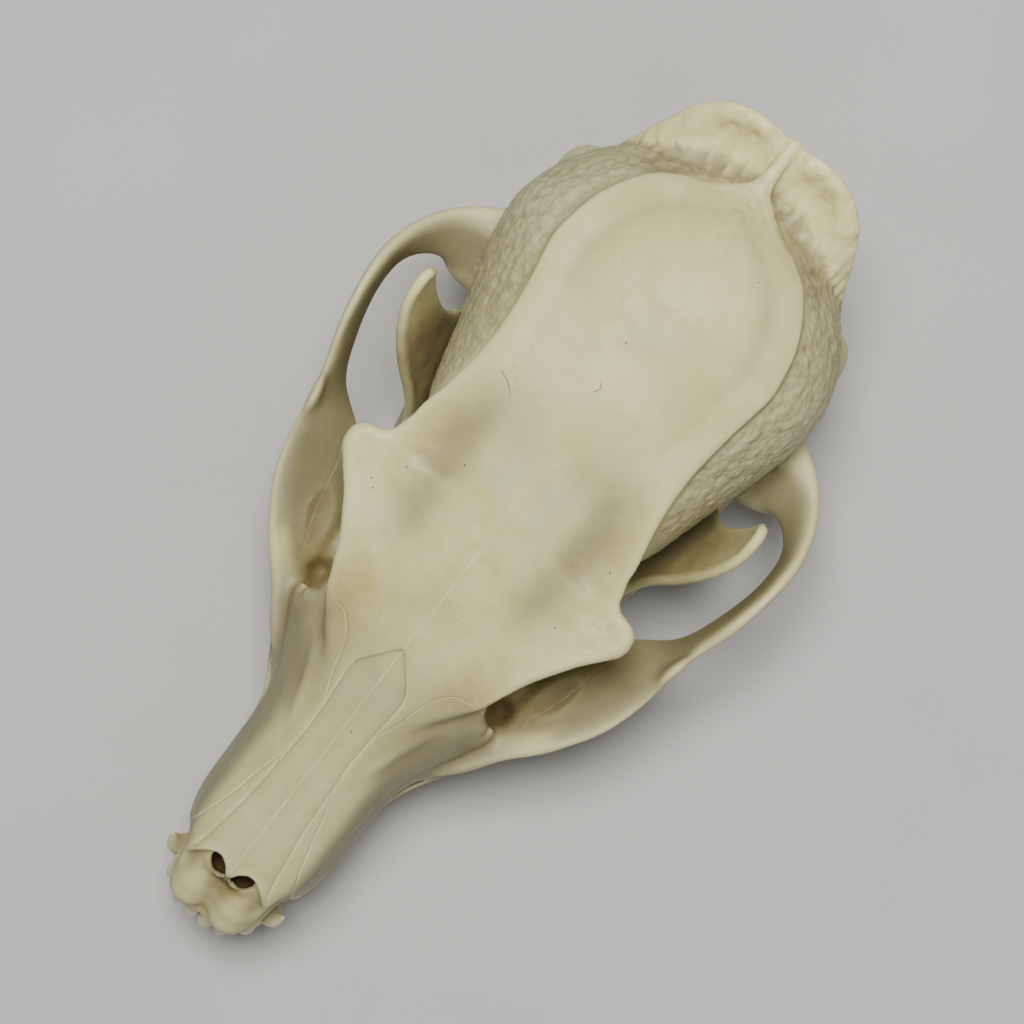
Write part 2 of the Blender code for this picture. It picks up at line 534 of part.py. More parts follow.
def fuse(name, pieces, face_count, collection):
    """Fuses overlapping closed pieces into one body with rounded joints and an even net of triangles."""
    bm = bmesh.new()
    for piece in pieces:
        bm.from_mesh(piece.data)
        bpy.data.objects.remove(piece)
    mesh = bpy.data.meshes.new(name)
    bm.to_mesh(mesh)
    bm.free()
    obj = bpy.data.objects.new(name, mesh)
    collection.objects.link(obj)
    remesh = obj.modifiers.new("Fuse", "REMESH")
    remesh.mode = "VOXEL"
    remesh.voxel_size = VOXEL * MM
    relax = obj.modifiers.new("Relax", "SMOOTH")
    relax.factor = 0.5
    relax.iterations = 2
    fixed(obj)
    thin = obj.modifiers.new("Thin", "DECIMATE")
    thin.ratio = min(1.0, face_count / (4.0 * len(obj.data.polygons)))
    thin.use_collapse_triangulate = True
    return fixed(obj)


def combine(obj, others, operation, name):
    """Applies one Boolean with a collection of closed objects, then removes them."""
    group = bpy.data.collections.new(name)
    bpy.context.scene.collection.children.link(group)
    for other in others:
        for held in list(other.users_collection):
            held.objects.unlink(other)
        group.objects.link(other)
    boolean = obj.modifiers.new(name, "BOOLEAN")
    boolean.operation = operation
    boolean.operand_type = "COLLECTION"
    boolean.collection = group
    boolean.solver = "EXACT"
    boolean.use_self = len(others) > 1
    fixed(obj)
    for other in list(group.objects):
        bpy.data.objects.remove(other)
    bpy.data.collections.remove(group)
    return obj


def keep_largest(obj):
    """Keeps only the largest closed surface of the object."""
    bm = bmesh.new()
    bm.from_mesh(obj.data)
    bmesh.ops.triangulate(bm, faces=bm.faces)
    bmesh.ops.remove_doubles(bm, verts=bm.verts, dist=WELD * MM)
    bmesh.ops.dissolve_degenerate(bm, dist=WELD * MM, edges=bm.edges)
    left = set(bm.faces)
    bodies = []
    while left:
        body = {left.pop()}
        front = list(body)
        while front:
            face = front.pop()
            near = {f for e in face.edges for f in e.link_faces} & left
            left -= near
            body |= near
            front.extend(near)
        bodies.append(body)
    keep = max(bodies, key=lambda body: sum(face.calc_area() for face in body))
    bmesh.ops.delete(bm, geom=[face for face in bm.faces if face not in keep], context="FACES")
    bm.to_mesh(obj.data)
    bm.free()
    return obj


def copy_of(obj, name, collection):
    made = bpy.data.objects.new(name, obj.data.copy())
    collection.objects.link(made)
    return made


def bone(name, colour):
    material = bpy.data.materials.new(name)
    material.use_nodes = True
    shader = material.node_tree.nodes["Principled BSDF"]
    shader.inputs["Base Color"].default_value = (*colour, 1.0)
    shader.inputs["Roughness"].default_value = BONE_ROUGHNESS
    shader.inputs["Metallic"].default_value = 0.0
    return material


def cranium(collection):
    """The whole upper skull without its teeth."""
    pieces = [form(collection) for form in (snout, molar_floor, table, case, skull_base)]
    pieces.append(ball("supraoccipital", *SUPRAOCCIPITAL, collection))
    for side in (1.0, -1.0):
        at = Vector((side, 1.0, 1.0))
        pieces.append(blade("crest", CREST, collection, 30, side))
        pieces.append(blade("arch", ARCH, collection, 60, side))
        pieces.append(blade("pterygoid", PTERYGOID, collection, 16, side))
        pieces.append(blade("paroccipital", PAROCCIPITAL, collection, 14, side))
        for middle, radii in (OCCIPITAL_CONDYLE, MASTOID, GLENOID, POSTGLENOID, *PREMAXILLA):
            pieces.append(ball("ball", Vector(middle) * at, radii, collection))
        middle, radii = BULLA
        pieces.append(ball("bulla", Vector(middle) * at, radii, collection, BULLA_TURN * side))
    whole = fuse("cranium", pieces, CRANIUM_FACES, collection)
    hollows = [ball("foramen_magnum", *FORAMEN_MAGNUM, collection)]
    for side in (1.0, -1.0):
        at = Vector((side, 1.0, 1.0))
        for middle, radii in (EAR_OPENING, ORBIT_PIT, INFRAORBITAL, NASAL_PASSAGE):
            hollows.append(ball("hollow", Vector(middle) * at, radii, collection))
        for (middle, radii), turn in TURNED_HOLLOWS:
            hollows.append(ball("turned_hollow", Vector(middle) * at, radii, collection, turn * side))
        socket = (6.2, CONDYLE_RADIUS + GAP, CONDYLE_RADIUS + GAP)
        hollows.append(ball("socket", CONDYLE * at, socket, collection))
    return keep_largest(combine(whole, hollows, "DIFFERENCE", "Hollows"))


def jaw(name, side, collection):
    """One half of the lower jaw, cut flat at the chin joint and at the floor, with its muscle hollow."""
    at = Vector((side, 1.0, 1.0))
    hollow_middle, hollow_radii = MASSETERIC_HOLLOW
    pieces = [
        blade("body", JAW, collection, 60, side),
        blade("coronoid", CORONOID, collection, 34, side),
        blade("angular", ANGULAR, collection, 14, side),
        ball("condyle", CONDYLE * at, (5.0, CONDYLE_RADIUS, CONDYLE_RADIUS), collection),
    ]
    half = fuse(name, pieces, JAW_FACES, collection)
    edge = 0.5 * GAP * side
    past_middle = [(edge, -FAR), (edge, FAR), (edge - FAR * side, FAR), (edge - FAR * side, -FAR)]
    below_floor = [(-FAR, 0.0), (FAR, 0.0), (FAR, -10.0), (-FAR, -10.0)]
    trims = [
        prism("past_middle", past_middle, "Z", -20.0, FAR, collection),
        prism("below_floor", below_floor, "X", -FAR, FAR, collection),
        ball("masseteric_hollow", Vector(hollow_middle) * at, hollow_radii, collection),
    ]
    combine(half, trims, "DIFFERENCE", "Trims")
    return half


def arch_zone(name, side, grow, collection):
    """The space that holds one zygomatic arch, larger all round by grow."""
    inner = [(x - grow, y) for x, y in ARCH_CUT_INNER]
    inner[0] = (inner[0][0], ARCH_CUT_REAR_Y + grow)
    inner[-1] = (inner[-1][0], ARCH_CUT_FRONT_Y - grow)
    outline = [(FAR, inner[-1][1]), (FAR, inner[0][1]), *inner]
    outline = [(x * side, y) for x, y in outline]
    return prism(name, outline, "Z", ARCH_CUT_BOTTOM_Z - grow, ARCH_CUT_TOP_Z + grow, collection)


def band(name, front, rear, collection):
    """The space between two lines seen from the side, each running from the top down."""
    return prism(name, [*front, *reversed(rear)], "X", -FAR, FAR, collection)


def share_of(whole, name, zone, collection):
    """What the zone holds of the whole, as an object of its own."""
    made = copy_of(whole, name, collection)
    combine(made, [zone], "INTERSECT", "Zone")
    return keep_largest(made)


def shifted(line, step):
    return [(y + step, z) for y, z in line]


def main():
    clear_scene()
    skull = new_collection("gray_fox_skull")
    bone_finish = bone("bone", BONE)
    whole = cranium(skull)
    whole.data.materials.append(bone_finish)
    sides = (("left", 1.0), ("right", -1.0))
    taken = []
    for word, side in sides:
        share_of(whole, f"zygomatic_arch_{word}", arch_zone("zone", side, 0.0, skull), skull)
        taken.append(arch_zone("zone", side, GAP, skull))
        middle, radii = BULLA
        middle = Vector(middle) * Vector((side, 1.0, 1.0))
        bulla = ball(f"auditory_bulla_{word}", middle, radii, skull, BULLA_TURN * side)
        bulla.data.materials.append(bone_finish)
        room = tuple(radius + GAP for radius in radii)
        taken.append(ball("bulla_room", middle, room, skull, BULLA_TURN * side))
    combine(whole, taken, "DIFFERENCE", "Taken")

    face_cut = [FACE_CUT_TOP, FACE_CUT_BEND, FACE_CUT_FOOT, (FACE_CUT_FOOT[0], -10.0)]
    occiput_cut = [(OCCIPUT_CUT_Y, FAR), (OCCIPUT_CUT_Y, -10.0)]
    front_end = [(-FAR, FACE_CUT_TOP[1]), (-FAR, -10.0)]
    rear_end = [(FAR, FAR), (FAR, -10.0)]
    face = share_of(whole, "rostrum", band("zone", front_end, face_cut, skull), skull)
    middle_zone = band("zone", shifted(face_cut, GAP), shifted(occiput_cut, -GAP), skull)
    share_of(whole, "braincase", middle_zone, skull)
    share_of(whole, "occiput", band("zone", occiput_cut, rear_end, skull), skull)
    bpy.data.objects.remove(whole)

    upper = teeth("tooth", UPPER_CUSPS, skull, 1.0) + teeth("tooth", UPPER_CUSPS, skull, -1.0)
    combine(face, upper, "UNION", "Teeth")
    keep_largest(face)
    jaw_finish = bone("jaw_bone", JAW_BONE)
    for word, side in sides:
        half = jaw(f"mandible_{word}", side, skull)
        half.data.materials.append(jaw_finish)
        combine(half, teeth("tooth", LOWER_CUSPS, skull, side), "UNION", "Teeth")
        keep_largest(half)


main()
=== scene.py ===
"""Gray fox skull with its lower jaw, with fine bone, sutures, rough temples and single teeth over the solids.

Lengths are written in millimetres, in the frame of the solids: +Z up, nose along -Y, animal's left at +X.
"""

import math

import bmesh
import bpy
import numpy as np
from mathutils import Matrix, Vector


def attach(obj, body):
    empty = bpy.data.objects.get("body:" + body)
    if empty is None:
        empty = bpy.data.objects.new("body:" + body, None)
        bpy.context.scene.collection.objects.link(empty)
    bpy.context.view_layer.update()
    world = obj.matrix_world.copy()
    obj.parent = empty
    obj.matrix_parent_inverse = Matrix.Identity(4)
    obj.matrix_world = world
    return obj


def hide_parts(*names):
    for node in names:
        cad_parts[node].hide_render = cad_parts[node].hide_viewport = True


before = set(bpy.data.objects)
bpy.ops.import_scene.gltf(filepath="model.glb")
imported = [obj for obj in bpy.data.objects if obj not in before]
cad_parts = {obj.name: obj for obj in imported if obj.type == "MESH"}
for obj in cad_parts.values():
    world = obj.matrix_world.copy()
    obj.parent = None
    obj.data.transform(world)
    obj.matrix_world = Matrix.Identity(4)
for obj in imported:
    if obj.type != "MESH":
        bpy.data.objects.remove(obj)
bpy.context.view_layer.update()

MM = 0.001

# Driving sizes
GAP = 0.3
VOXEL = 0.27
TOOTH_VOXEL = 0.13
UPPER_ALVEOLUS_Z = 18.0
CONDYLE = (20.8, 26.4, 20.6)
CONDYLE_RADIUS = 2.1

BALL_SIDES = 48
BLADE_SIDES = 36

# Snout, by y: half width at the tooth sockets, at the cheek and at the nasal bones, and the heights of its
# cheek and roof
SNOUT_JAW_HALF = [
    (-58.0, 3.4), (-57.0, 5.2), (-55.0, 6.5), (-52.5, 6.9), (-50.6, 7.3), (-48.5, 8.7), (-45.0, 9.6),
    (-38.0, 9.9), (-33.0, 10.1), (-29.0, 11.2), (-25.0, 13.2), (-21.0, 14.9), (-18.4, 15.6), (-16.4, 15.8),
]
SNOUT_CHEEK_HALF = [
    (-58.0, 3.0), (-57.0, 4.8), (-55.0, 6.0), (-51.0, 6.4), (-48.0, 7.9), (-40.0, 8.6), (-32.0, 9.0),
    (-26.0, 10.6), (-21.0, 13.2), (-18.4, 14.6), (-16.4, 15.0),
]
SNOUT_CHEEK_Z = [(-58.0, 20.4), (-52.0, 23.5), (-45.0, 26.0), (-32.0, 28.2), (-24.0, 29.0), (-16.4, 29.8)]
SNOUT_ROOF_HALF = [
    (-58.0, 2.2), (-57.0, 3.6), (-54.0, 4.6), (-51.0, 4.9), (-46.0, 4.9), (-38.0, 4.4), (-28.0, 4.2),
    (-23.0, 5.6), (-18.4, 8.6), (-16.4, 9.8),
]
SNOUT_ROOF_Z = [
    (-58.0, 21.0), (-56.5, 22.6), (-54.0, 25.6), (-52.0, 28.6), (-50.6, 30.0), (-48.0, 30.8), (-40.0, 32.6),
    (-30.0, 35.4), (-24.0, 38.0), (-18.4, 40.6), (-16.4, 41.2),
]
# The rear end of the snout is the front rim of the eye socket, which leans back at the top
RIM_LEAN = 0.34
RIM_LEAN_START_Y = -36.0
RIM_MIDDLE_Z = 29.5

# Frontal and parietal table between the temporal ridges, by y: half width, heights of its edge and middle
TABLE_HALF = [
    (-25.0, 5.0), (-19.0, 9.8), (-15.5, 12.0), (-12.5, 13.2), (-9.0, 14.6), (-5.0, 17.2), (-1.5, 19.9),
    (0.6, 21.0), (1.8, 21.0), (2.7, 20.5), (3.3, 19.7), (3.7, 18.2), (4.2, 17.3), (5.4, 16.8), (7.0, 16.4),
    (9.1, 16.2), (10.8, 15.8), (15.0, 14.8), (21.0, 14.1), (26.0, 14.4), (34.0, 15.8), (38.5, 15.4),
    (42.6, 13.9), (46.4, 11.0), (49.0, 8.0), (50.8, 4.9), (52.2, 2.5), (54.2, 1.4), (57.0, 1.0),
    (59.2, 0.9),
]
TABLE_EDGE_Z = [
    (-25.0, 35.2), (-19.0, 38.2), (-14.0, 41.4), (-6.0, 44.2), (1.5, 45.2), (6.0, 46.6), (12.0, 48.8),
    (20.0, 50.6), (30.0, 51.3), (38.0, 51.0), (46.0, 49.8), (52.6, 49.3), (56.0, 49.2), (59.2, 49.6),
]
TABLE_MIDDLE_Z = [
    (-25.0, 36.2), (-19.0, 39.4), (-14.0, 42.1), (-6.0, 45.9), (2.0, 48.4), (10.0, 51.0), (20.0, 53.8),
    (28.0, 55.2), (34.0, 55.5), (40.0, 54.8), (46.0, 52.8), (50.0, 51.0), (52.6, 50.1), (56.0, 49.8),
    (59.2, 50.2),
]
TABLE_RIM = 1.5
DISH_DEPTH = 0.9
DISH_MIDDLE_Y = 5.0
DISH_LENGTH = 11.0

# The same at shares of the half width: where its points lie, and where the dish is deepest
TABLE_SHARES = (0.0, 0.12, 0.24, 0.35, 0.45, 0.55, 0.65, 0.72, 0.8, 0.87, 0.93, 0.97)
DISH_SHARE = 0.68

# Braincase and the wall between the orbits, by y: half width, top, bottom and the height of the widest place
CASE_HALF = [
    (-19.0, 7.6), (-12.0, 8.8), (-5.0, 10.0), (1.0, 11.6), (6.0, 14.2), (11.0, 16.5), (17.6, 18.4),
    (23.5, 20.0), (29.0, 21.7), (35.0, 22.6), (40.0, 21.8), (45.0, 19.4), (49.0, 15.6), (52.0, 10.4),
    (53.6, 4.6),
]
CASE_TOP = [
    (-19.0, 39.0), (-12.0, 42.4), (-5.0, 45.4), (5.0, 48.6), (15.0, 51.8), (25.0, 54.2), (33.0, 54.9),
    (40.0, 53.9), (45.0, 52.0), (49.0, 49.2), (52.0, 45.2), (53.6, 41.0),
]
CASE_BOTTOM = [
    (-19.0, 27.0), (-8.0, 25.5), (5.0, 24.2), (15.0, 22.8), (25.0, 21.8), (44.0, 21.8), (50.0, 25.0),
    (53.6, 31.0),
]
CASE_WIDEST_Z = [(-19.0, 34.0), (0.0, 36.0), (20.0, 36.5), (35.0, 37.0), (45.0, 36.0), (53.6, 36.0)]

# Palate and molar floor, by y: half width and top
FLOOR_HALF = [
    (-27.0, 11.6), (-22.0, 14.6), (-16.0, 16.8), (-11.0, 17.3), (-7.0, 16.2), (-4.0, 13.6), (-2.4, 8.5),
]
FLOOR_TOP = [(-27.0, 26.0), (-20.0, 26.0), (-12.0, 24.8), (-6.0, 24.0), (-2.4, 22.6)]

# Skull base behind the palate, by y: half width and lowest height
BASE_HALF = [(-7.0, 9.0), (0.0, 6.6), (6.0, 5.9), (14.0, 7.4), (26.0, 9.6), (44.0, 9.4), (51.5, 6.0)]
BASE_BOTTOM = [(-7.0, 19.6), (0.0, 22.0), (6.0, 22.4), (20.0, 21.0), (44.0, 21.4), (51.5, 24.0)]
BASE_TOP_Z = 31.0

# Nuchal crest, from the middle down to the mastoid: free edge, root in the braincase, thickness of both
CREST = [
    ((0.0, 60.1, 50.0), (0.0, 50.0, 43.2), 1.8, 7.0),
    ((4.8, 60.1, 50.2), (3.6, 50.0, 42.2), 1.6, 4.6),
    ((9.1, 59.0, 49.4), (7.0, 49.2, 41.4), 1.5, 4.2),
    ((12.0, 56.8, 47.0), (9.3, 47.8, 40.2), 1.5, 4.4),
    ((14.1, 53.7, 43.4), (10.1, 45.7, 38.3), 1.5, 5.0),
    ((15.8, 50.4, 39.2), (10.6, 43.6, 36.0), 1.7, 6.0),
    ((17.4, 47.6, 34.4), (11.6, 42.4, 33.0), 2.0, 6.5),
    ((19.2, 45.8, 29.6), (12.4, 41.6, 30.0), 3.0, 7.0),
    ((18.8, 44.8, 24.6), (12.4, 41.2, 27.0), 4.0, 7.0),
]

# Zygomatic arch, from the cheek to its root on the braincase: upper edge, lower edge, and thickness of both
ARCH = [
    ((9.4, -29.0, 24.2), (6.6, -26.0, 20.6), 3.0, 6.0),
    ((14.5, -24.0, 25.8), (9.6, -21.6, 20.8), 3.4, 6.0),
    ((17.8, -19.7, 27.0), (11.8, -17.4, 21.0), 2.4, 6.0),
    ((21.7, -15.2, 28.4), (14.0, -13.2, 21.6), 1.8, 4.6),
    ((25.3, -9.8, 30.0), (15.6, -8.4, 22.0), 1.6, 3.2),
    ((27.2, -4.4, 31.4), (17.2, -3.6, 22.6), 1.5, 2.6),
    ((28.0, 0.6, 33.6), (20.8, 1.2, 23.4), 1.6, 2.0),
    ((28.6, 5.4, 33.2), (26.2, 5.4, 25.4), 1.6, 1.8),
    ((30.1, 11.0, 35.2), (28.8, 11.0, 27.4), 1.7, 2.0),
    ((31.1, 17.0, 35.8), (30.2, 17.0, 28.4), 1.8, 2.0),
    ((31.3, 22.0, 34.6), (29.9, 22.0, 28.0), 1.9, 2.4),
    ((30.0, 27.2, 32.8), (27.2, 24.9, 26.6), 2.2, 3.6),
    ((27.0, 31.6, 31.4), (23.0, 25.3, 25.8), 2.6, 4.8),
    ((21.5, 35.2, 30.8), (16.4, 26.8, 25.6), 4.0, 6.0),
]

# Pterygoid wing, from the palate back to its hook
PTERYGOID = [
    ((6.6, -4.6, 19.6), (6.0, -4.6, 25.0), 1.6, 3.0),
    ((5.6, 1.0, 18.6), (5.2, 0.6, 25.0), 1.3, 2.4),
    ((5.0, 6.0, 18.0), (4.8, 5.6, 24.5), 1.2, 2.4),
    ((5.0, 9.8, 18.0), (5.0, 10.4, 24.0), 1.2, 2.4),
    ((5.4, 12.4, 20.8), (5.6, 13.6, 24.0), 1.2, 2.4),
]

# Paroccipital process behind the bulla
PAROCCIPITAL = [
    ((18.6, 45.0, 27.0), (12.0, 44.0, 27.0), 4.0, 5.0),
    ((17.4, 46.0, 23.0), (12.2, 45.6, 23.4), 2.6, 3.6),
    ((14.8, 46.8, 19.6), (12.6, 46.6, 19.8), 1.8, 2.4),
    ((13.8, 47.0, 17.6), (13.0, 47.0, 17.7), 1.0, 1.2),
]

# Balls: middle and radii
BULLA = ((11.4, 35.4, 21.6), (6.3, 9.0, 6.2))
BULLA_TURN = math.radians(12.0)
OCCIPITAL_CONDYLE = ((6.3, 51.6, 26.0), (3.3, 3.9, 4.7))
SUPRAOCCIPITAL = ((0.0, 48.6, 37.0), (13.4, 6.4, 10.4))
MASTOID = ((18.1, 43.2, 28.6), (3.6, 4.2, 5.4))
GLENOID = ((21.4, 27.8, 25.6), (6.2, 4.3, 3.8))
PREMAXILLA_UPPER_PAD = ((2.8, -52.2, 25.3), (2.6, 3.0, 3.0))
PREMAXILLA_MIDDLE_PAD = ((3.0, -53.9, 24.3), (2.6, 2.8, 3.1))
PREMAXILLA_LOWER_PAD = ((3.0, -55.3, 22.6), (2.8, 2.9, 3.2))
INCISOR_BORDER = ((2.4, -56.9, 20.2), (3.2, 1.6, 2.2))
PREMAXILLA = (PREMAXILLA_UPPER_PAD, PREMAXILLA_MIDDLE_PAD, PREMAXILLA_LOWER_PAD, INCISOR_BORDER)
POSTGLENOID = ((19.6, 30.0, 21.0), (4.0, 1.5, 3.8))

# Hollows: middle and radii
JAW_SOCKET = (CONDYLE, (6.2, CONDYLE_RADIUS + GAP, CONDYLE_RADIUS + GAP))
FORAMEN_MAGNUM = ((0.0, 54.0, 30.6), (5.4, 9.0, 4.6))
EAR_OPENING = ((19.6, 37.8, 26.2), (4.4, 2.3, 2.3))
ORBIT = ((16.7, -9.2, 33.2), (4.8, 8.6, 8.2))
ORBIT_TURN = math.radians(-20.0)
ORBIT_PIT = ((14.0, -14.8, 27.6), (2.0, 2.6, 4.4))
BOWL = ((7.3, 53.4, 54.6), (8.2, 4.8, 9.4))
BOWL_TURN = math.radians(-29.0)
INFRAORBITAL = ((10.9, -29.6, 22.8), (1.5, 2.8, 1.5))
NASAL_PASSAGE = ((1.9, -46.6, 26.9), (1.2, 5.2, 2.4))
NASAL_MOUTH = ((1.8, -50.5, 28.6), (1.35, 0.7, 4.4))
NASAL_MOUTH_TURN = math.radians(46.0)
TURNED_HOLLOWS = ((ORBIT, ORBIT_TURN), (BOWL, BOWL_TURN), (NASAL_MOUTH, NASAL_MOUTH_TURN))

# Lower jaw body, from the chin to the neck of the condyle: lower edge, upper edge, and thickness of both
JAW = [
    ((1.9, -55.6, 8.8), (2.3, -57.0, 12.6), 2.2, 2.8),
    ((2.6, -53.0, 5.6), (3.6, -54.2, 12.6), 3.6, 5.2),
    ((3.4, -47.6, 2.4), (4.5, -49.6, 12.2), 3.8, 4.2),
    ((5.2, -41.4, 0.9), (6.5, -42.8, 11.8), 3.8, 4.6),
    ((7.6, -34.0, 0.1), (7.9, -34.6, 11.4), 3.6, 4.2),
    ((9.9, -25.0, -0.4), (9.7, -25.0, 11.4), 3.6, 4.4),
    ((12.2, -15.0, -0.4), (11.6, -15.0, 11.8), 3.8, 4.8),
    ((14.6, -5.0, 0.6), (13.8, -5.0, 12.8), 3.6, 4.4),
    ((16.4, 2.0, 1.7), (15.8, 2.0, 15.0), 3.2, 3.6),
    ((17.8, 8.0, 1.0), (17.6, 8.0, 20.0), 2.8, 2.8),
    ((18.9, 13.0, -0.4), (18.9, 13.0, 23.6), 2.6, 2.4),
    ((19.8, 17.6, -0.3), (19.8, 17.6, 24.4), 2.4, 2.4),
    ((20.0, 20.4, 3.6), (19.8, 20.8, 22.8), 2.0, 2.4),
    ((19.8, 25.4, 11.6), (19.6, 25.4, 21.4), 1.8, 2.6),
]

# Coronoid process, from the jaw up to its tip: front edge, rear edge, and thickness of both
CORONOID = [
    ((16.2, 1.0, 12.0), (19.6, 20.0, 12.0), 3.4, 2.4),
    ((16.7, 4.6, 18.0), (20.0, 21.8, 18.0), 2.8, 2.0),
    ((17.4, 7.2, 23.6), (20.2, 21.6, 23.0), 2.2, 1.8),
    ((20.0, 9.6, 29.6), (20.9, 20.4, 29.0), 1.9, 1.6),
    ((22.1, 11.7, 34.4), (21.8, 20.0, 34.0), 1.6, 1.4),
    ((24.0, 14.8, 38.8), (23.4, 21.0, 38.4), 1.5, 1.3),
    ((25.2, 19.0, 42.0), (24.8, 23.0, 41.4), 1.4, 1.3),
]

# Angular process: upper edge, lower edge, and thickness of both
ANGULAR = [
    ((20.0, 17.0, 12.0), (19.8, 17.0, 3.6), 2.4, 2.4),
    ((20.5, 21.6, 11.0), (20.4, 21.6, 4.6), 2.2, 2.2),
    ((20.8, 25.6, 10.0), (20.7, 25.6, 6.2), 1.8, 1.8),
    ((21.0, 28.6, 10.2), (21.0, 28.6, 8.2), 1.2, 1.2),
]

# Sutures in plan, by (distance from the middle, y)
NASAL_LINE = [
    (-0.6, -15.0), (0.0, -15.3), (0.96, -16.1), (2.15, -17.7), (3.34, -19.1), (3.95, -20.7), (3.74, -25.1),
    (3.5, -30.1), (3.64, -33.8), (4.15, -41.3), (5.1, -48.1), (5.6, -50.5),
]
PREMAXILLA_LINE = [(3.64, -33.8), (4.9, -37.8), (6.0, -42.7), (7.4, -47.3), (7.9, -49.8), (8.2, -53.0)]
FRONTAL_LINE = [
    (13.2, -16.0), (11.1, -15.8), (9.6, -15.9), (8.4, -16.2), (7.2, -17.5), (6.4, -18.7), (5.8, -20.4),
    (5.3, -22.6), (4.3, -25.2), (3.7, -26.4),
]
JUGAL_LINE = [
    (13.6, -20.9), (15.8, -20.0), (17.3, -18.6), (17.4, -15.6), (17.6, -13.4), (18.5, -11.3), (19.3, -8.8),
    (19.9, -6.1), (20.5, -3.0), (21.4, -0.9), (22.0, 0.6),
]
NASAL_FRONT_LINE = [
    (-0.4, -51.4), (0.5, -51.3), (1.2, -50.3), (2.4, -49.6), (3.6, -49.9), (4.7, -50.8), (5.8, -52.0),
]
FOLD_LINE = [(5.9, -36.0), (6.9, -31.0), (8.0, -27.8), (9.6, -24.4), (10.8, -20.5), (11.6, -18.0)]
RIDGE_LINE = [
    (15.0, -15.0), (13.4, -12.0), (14.6, -9.0), (17.2, -5.0), (19.9, -1.5), (21.0, 0.6), (21.0, 1.8),
    (20.5, 2.8), (19.4, 3.5), (18.0, 3.9), (17.1, 5.0), (16.6, 7.0), (16.2, 9.1), (15.7, 10.8),
    (14.8, 14.3), (14.2, 17.8), (13.9, 21.2), (14.1, 24.7), (14.55, 28.2), (15.2, 31.7), (15.5, 34.0),
    (15.3, 36.5), (14.6, 40.0), (13.5, 42.6), (12.3, 44.6), (10.8, 46.5), (9.0, 48.1), (6.8, 49.7),
    (4.5, 50.9), (2.7, 51.9), (1.6, 52.9), (1.1, 54.2), (0.8, 57.0), (0.8, 62.0),
]

# Teeth: a cusp is its base, its tip, its length and width at the neck, and how blunt its tip is
SHARP = 0.1
BLUNT = 0.34
BROAD = 0.62
UPPER_CUSPS = [
    ((1.15, -57.6, 18.6), (1.1, -60.0, 15.2), 2.0, 2.2, BROAD),
    ((0.55, -57.6, 18.2), (0.35, -59.3, 15.9), 1.4, 0.9, BROAD),
    ((1.8, -57.4, 18.2), (1.95, -59.2, 15.9), 1.4, 0.9, BROAD),
    ((3.3, -57.0, 18.6), (3.4, -59.3, 15.1), 2.1, 2.2, BROAD),
    ((2.7, -57.2, 18.2), (2.6, -58.9, 15.9), 1.3, 0.9, BROAD),
    ((4.1, -56.7, 18.2), (4.4, -58.4, 15.9), 1.3, 1.0, BROAD),
    ((5.4, -55.6, 18.6), (6.0, -57.2, 14.4), 2.8, 2.4, BLUNT),
    ((5.9, -54.6, 18.2), (6.5, -55.4, 16.0), 2.0, 1.8, BLUNT),
    ((8.2, -44.4, 18.4), (8.3, -44.7, 15.4), 2.5, 1.7, BLUNT),
    ((8.3, -44.3, 18.3), (8.3, -43.6, 16.7), 2.4, 1.6, BLUNT),
    ((8.3, -38.6, 18.4), (8.5, -39.0, 14.0), 4.6, 2.0, SHARP),
    ((8.4, -37.2, 18.4), (8.6, -36.2, 16.0), 3.8, 2.0, BLUNT),
    ((8.2, -39.8, 18.4), (8.3, -40.7, 16.9), 2.2, 1.7, BLUNT),
    ((9.4, -30.4, 18.4), (9.6, -30.8, 13.2), 5.0, 2.2, SHARP),
    ((9.6, -28.8, 18.4), (9.9, -27.8, 15.5), 4.0, 2.2, BLUNT),
    ((9.2, -31.8, 18.4), (9.2, -32.9, 16.6), 2.4, 1.8, BLUNT),
    ((12.4, -22.6, 18.6), (13.1, -23.0, 11.4), 4.8, 2.9, SHARP),
    ((13.9, -18.4, 18.6), (14.6, -17.8, 13.7), 5.2, 2.4, BLUNT),
    ((13.2, -20.2, 18.6), (13.9, -20.4, 14.8), 4.4, 2.4, BLUNT),
    ((11.0, -24.2, 18.4), (10.7, -24.6, 15.4), 2.5, 2.3, BLUNT),
    ((15.5, -14.3, 18.6), (15.8, -14.3, 14.0), 3.8, 3.0, BLUNT),
    ((15.6, -10.8, 18.6), (15.8, -10.8, 14.5), 3.6, 2.8, BLUNT),
    ((16.4, -12.6, 18.4), (16.8, -12.6, 16.6), 5.6, 1.6, BROAD),
    ((13.2, -13.4, 18.6), (13.3, -13.5, 15.4), 3.2, 3.0, BLUNT),
    ((13.3, -11.2, 18.6), (13.4, -11.2, 15.9), 2.8, 2.8, BLUNT),
    ((11.4, -12.4, 18.6), (11.2, -12.3, 15.9), 4.6, 2.8, BROAD),
    ((12.8, -12.6, 18.6), (12.8, -12.6, 16.6), 5.8, 5.6, BROAD),
    ((14.3, -8.2, 18.6), (14.4, -8.3, 15.3), 2.4, 2.4, BLUNT),
    ((13.9, -6.4, 18.6), (14.0, -6.3, 15.6), 2.2, 2.2, BLUNT),
    ((12.0, -7.3, 18.6), (11.9, -7.3, 16.0), 2.8, 2.4, BLUNT),
    ((12.7, -7.0, 18.6), (12.7, -7.0, 16.7), 4.0, 4.4, BROAD),
]
UPPER_CANINE = [
    (7.4, -47.2, 22.0), (7.5, -48.0, 18.4), (7.7, -48.9, 14.2), (7.9, -49.1, 11.0), (8.0, -48.7, 7.8),
]
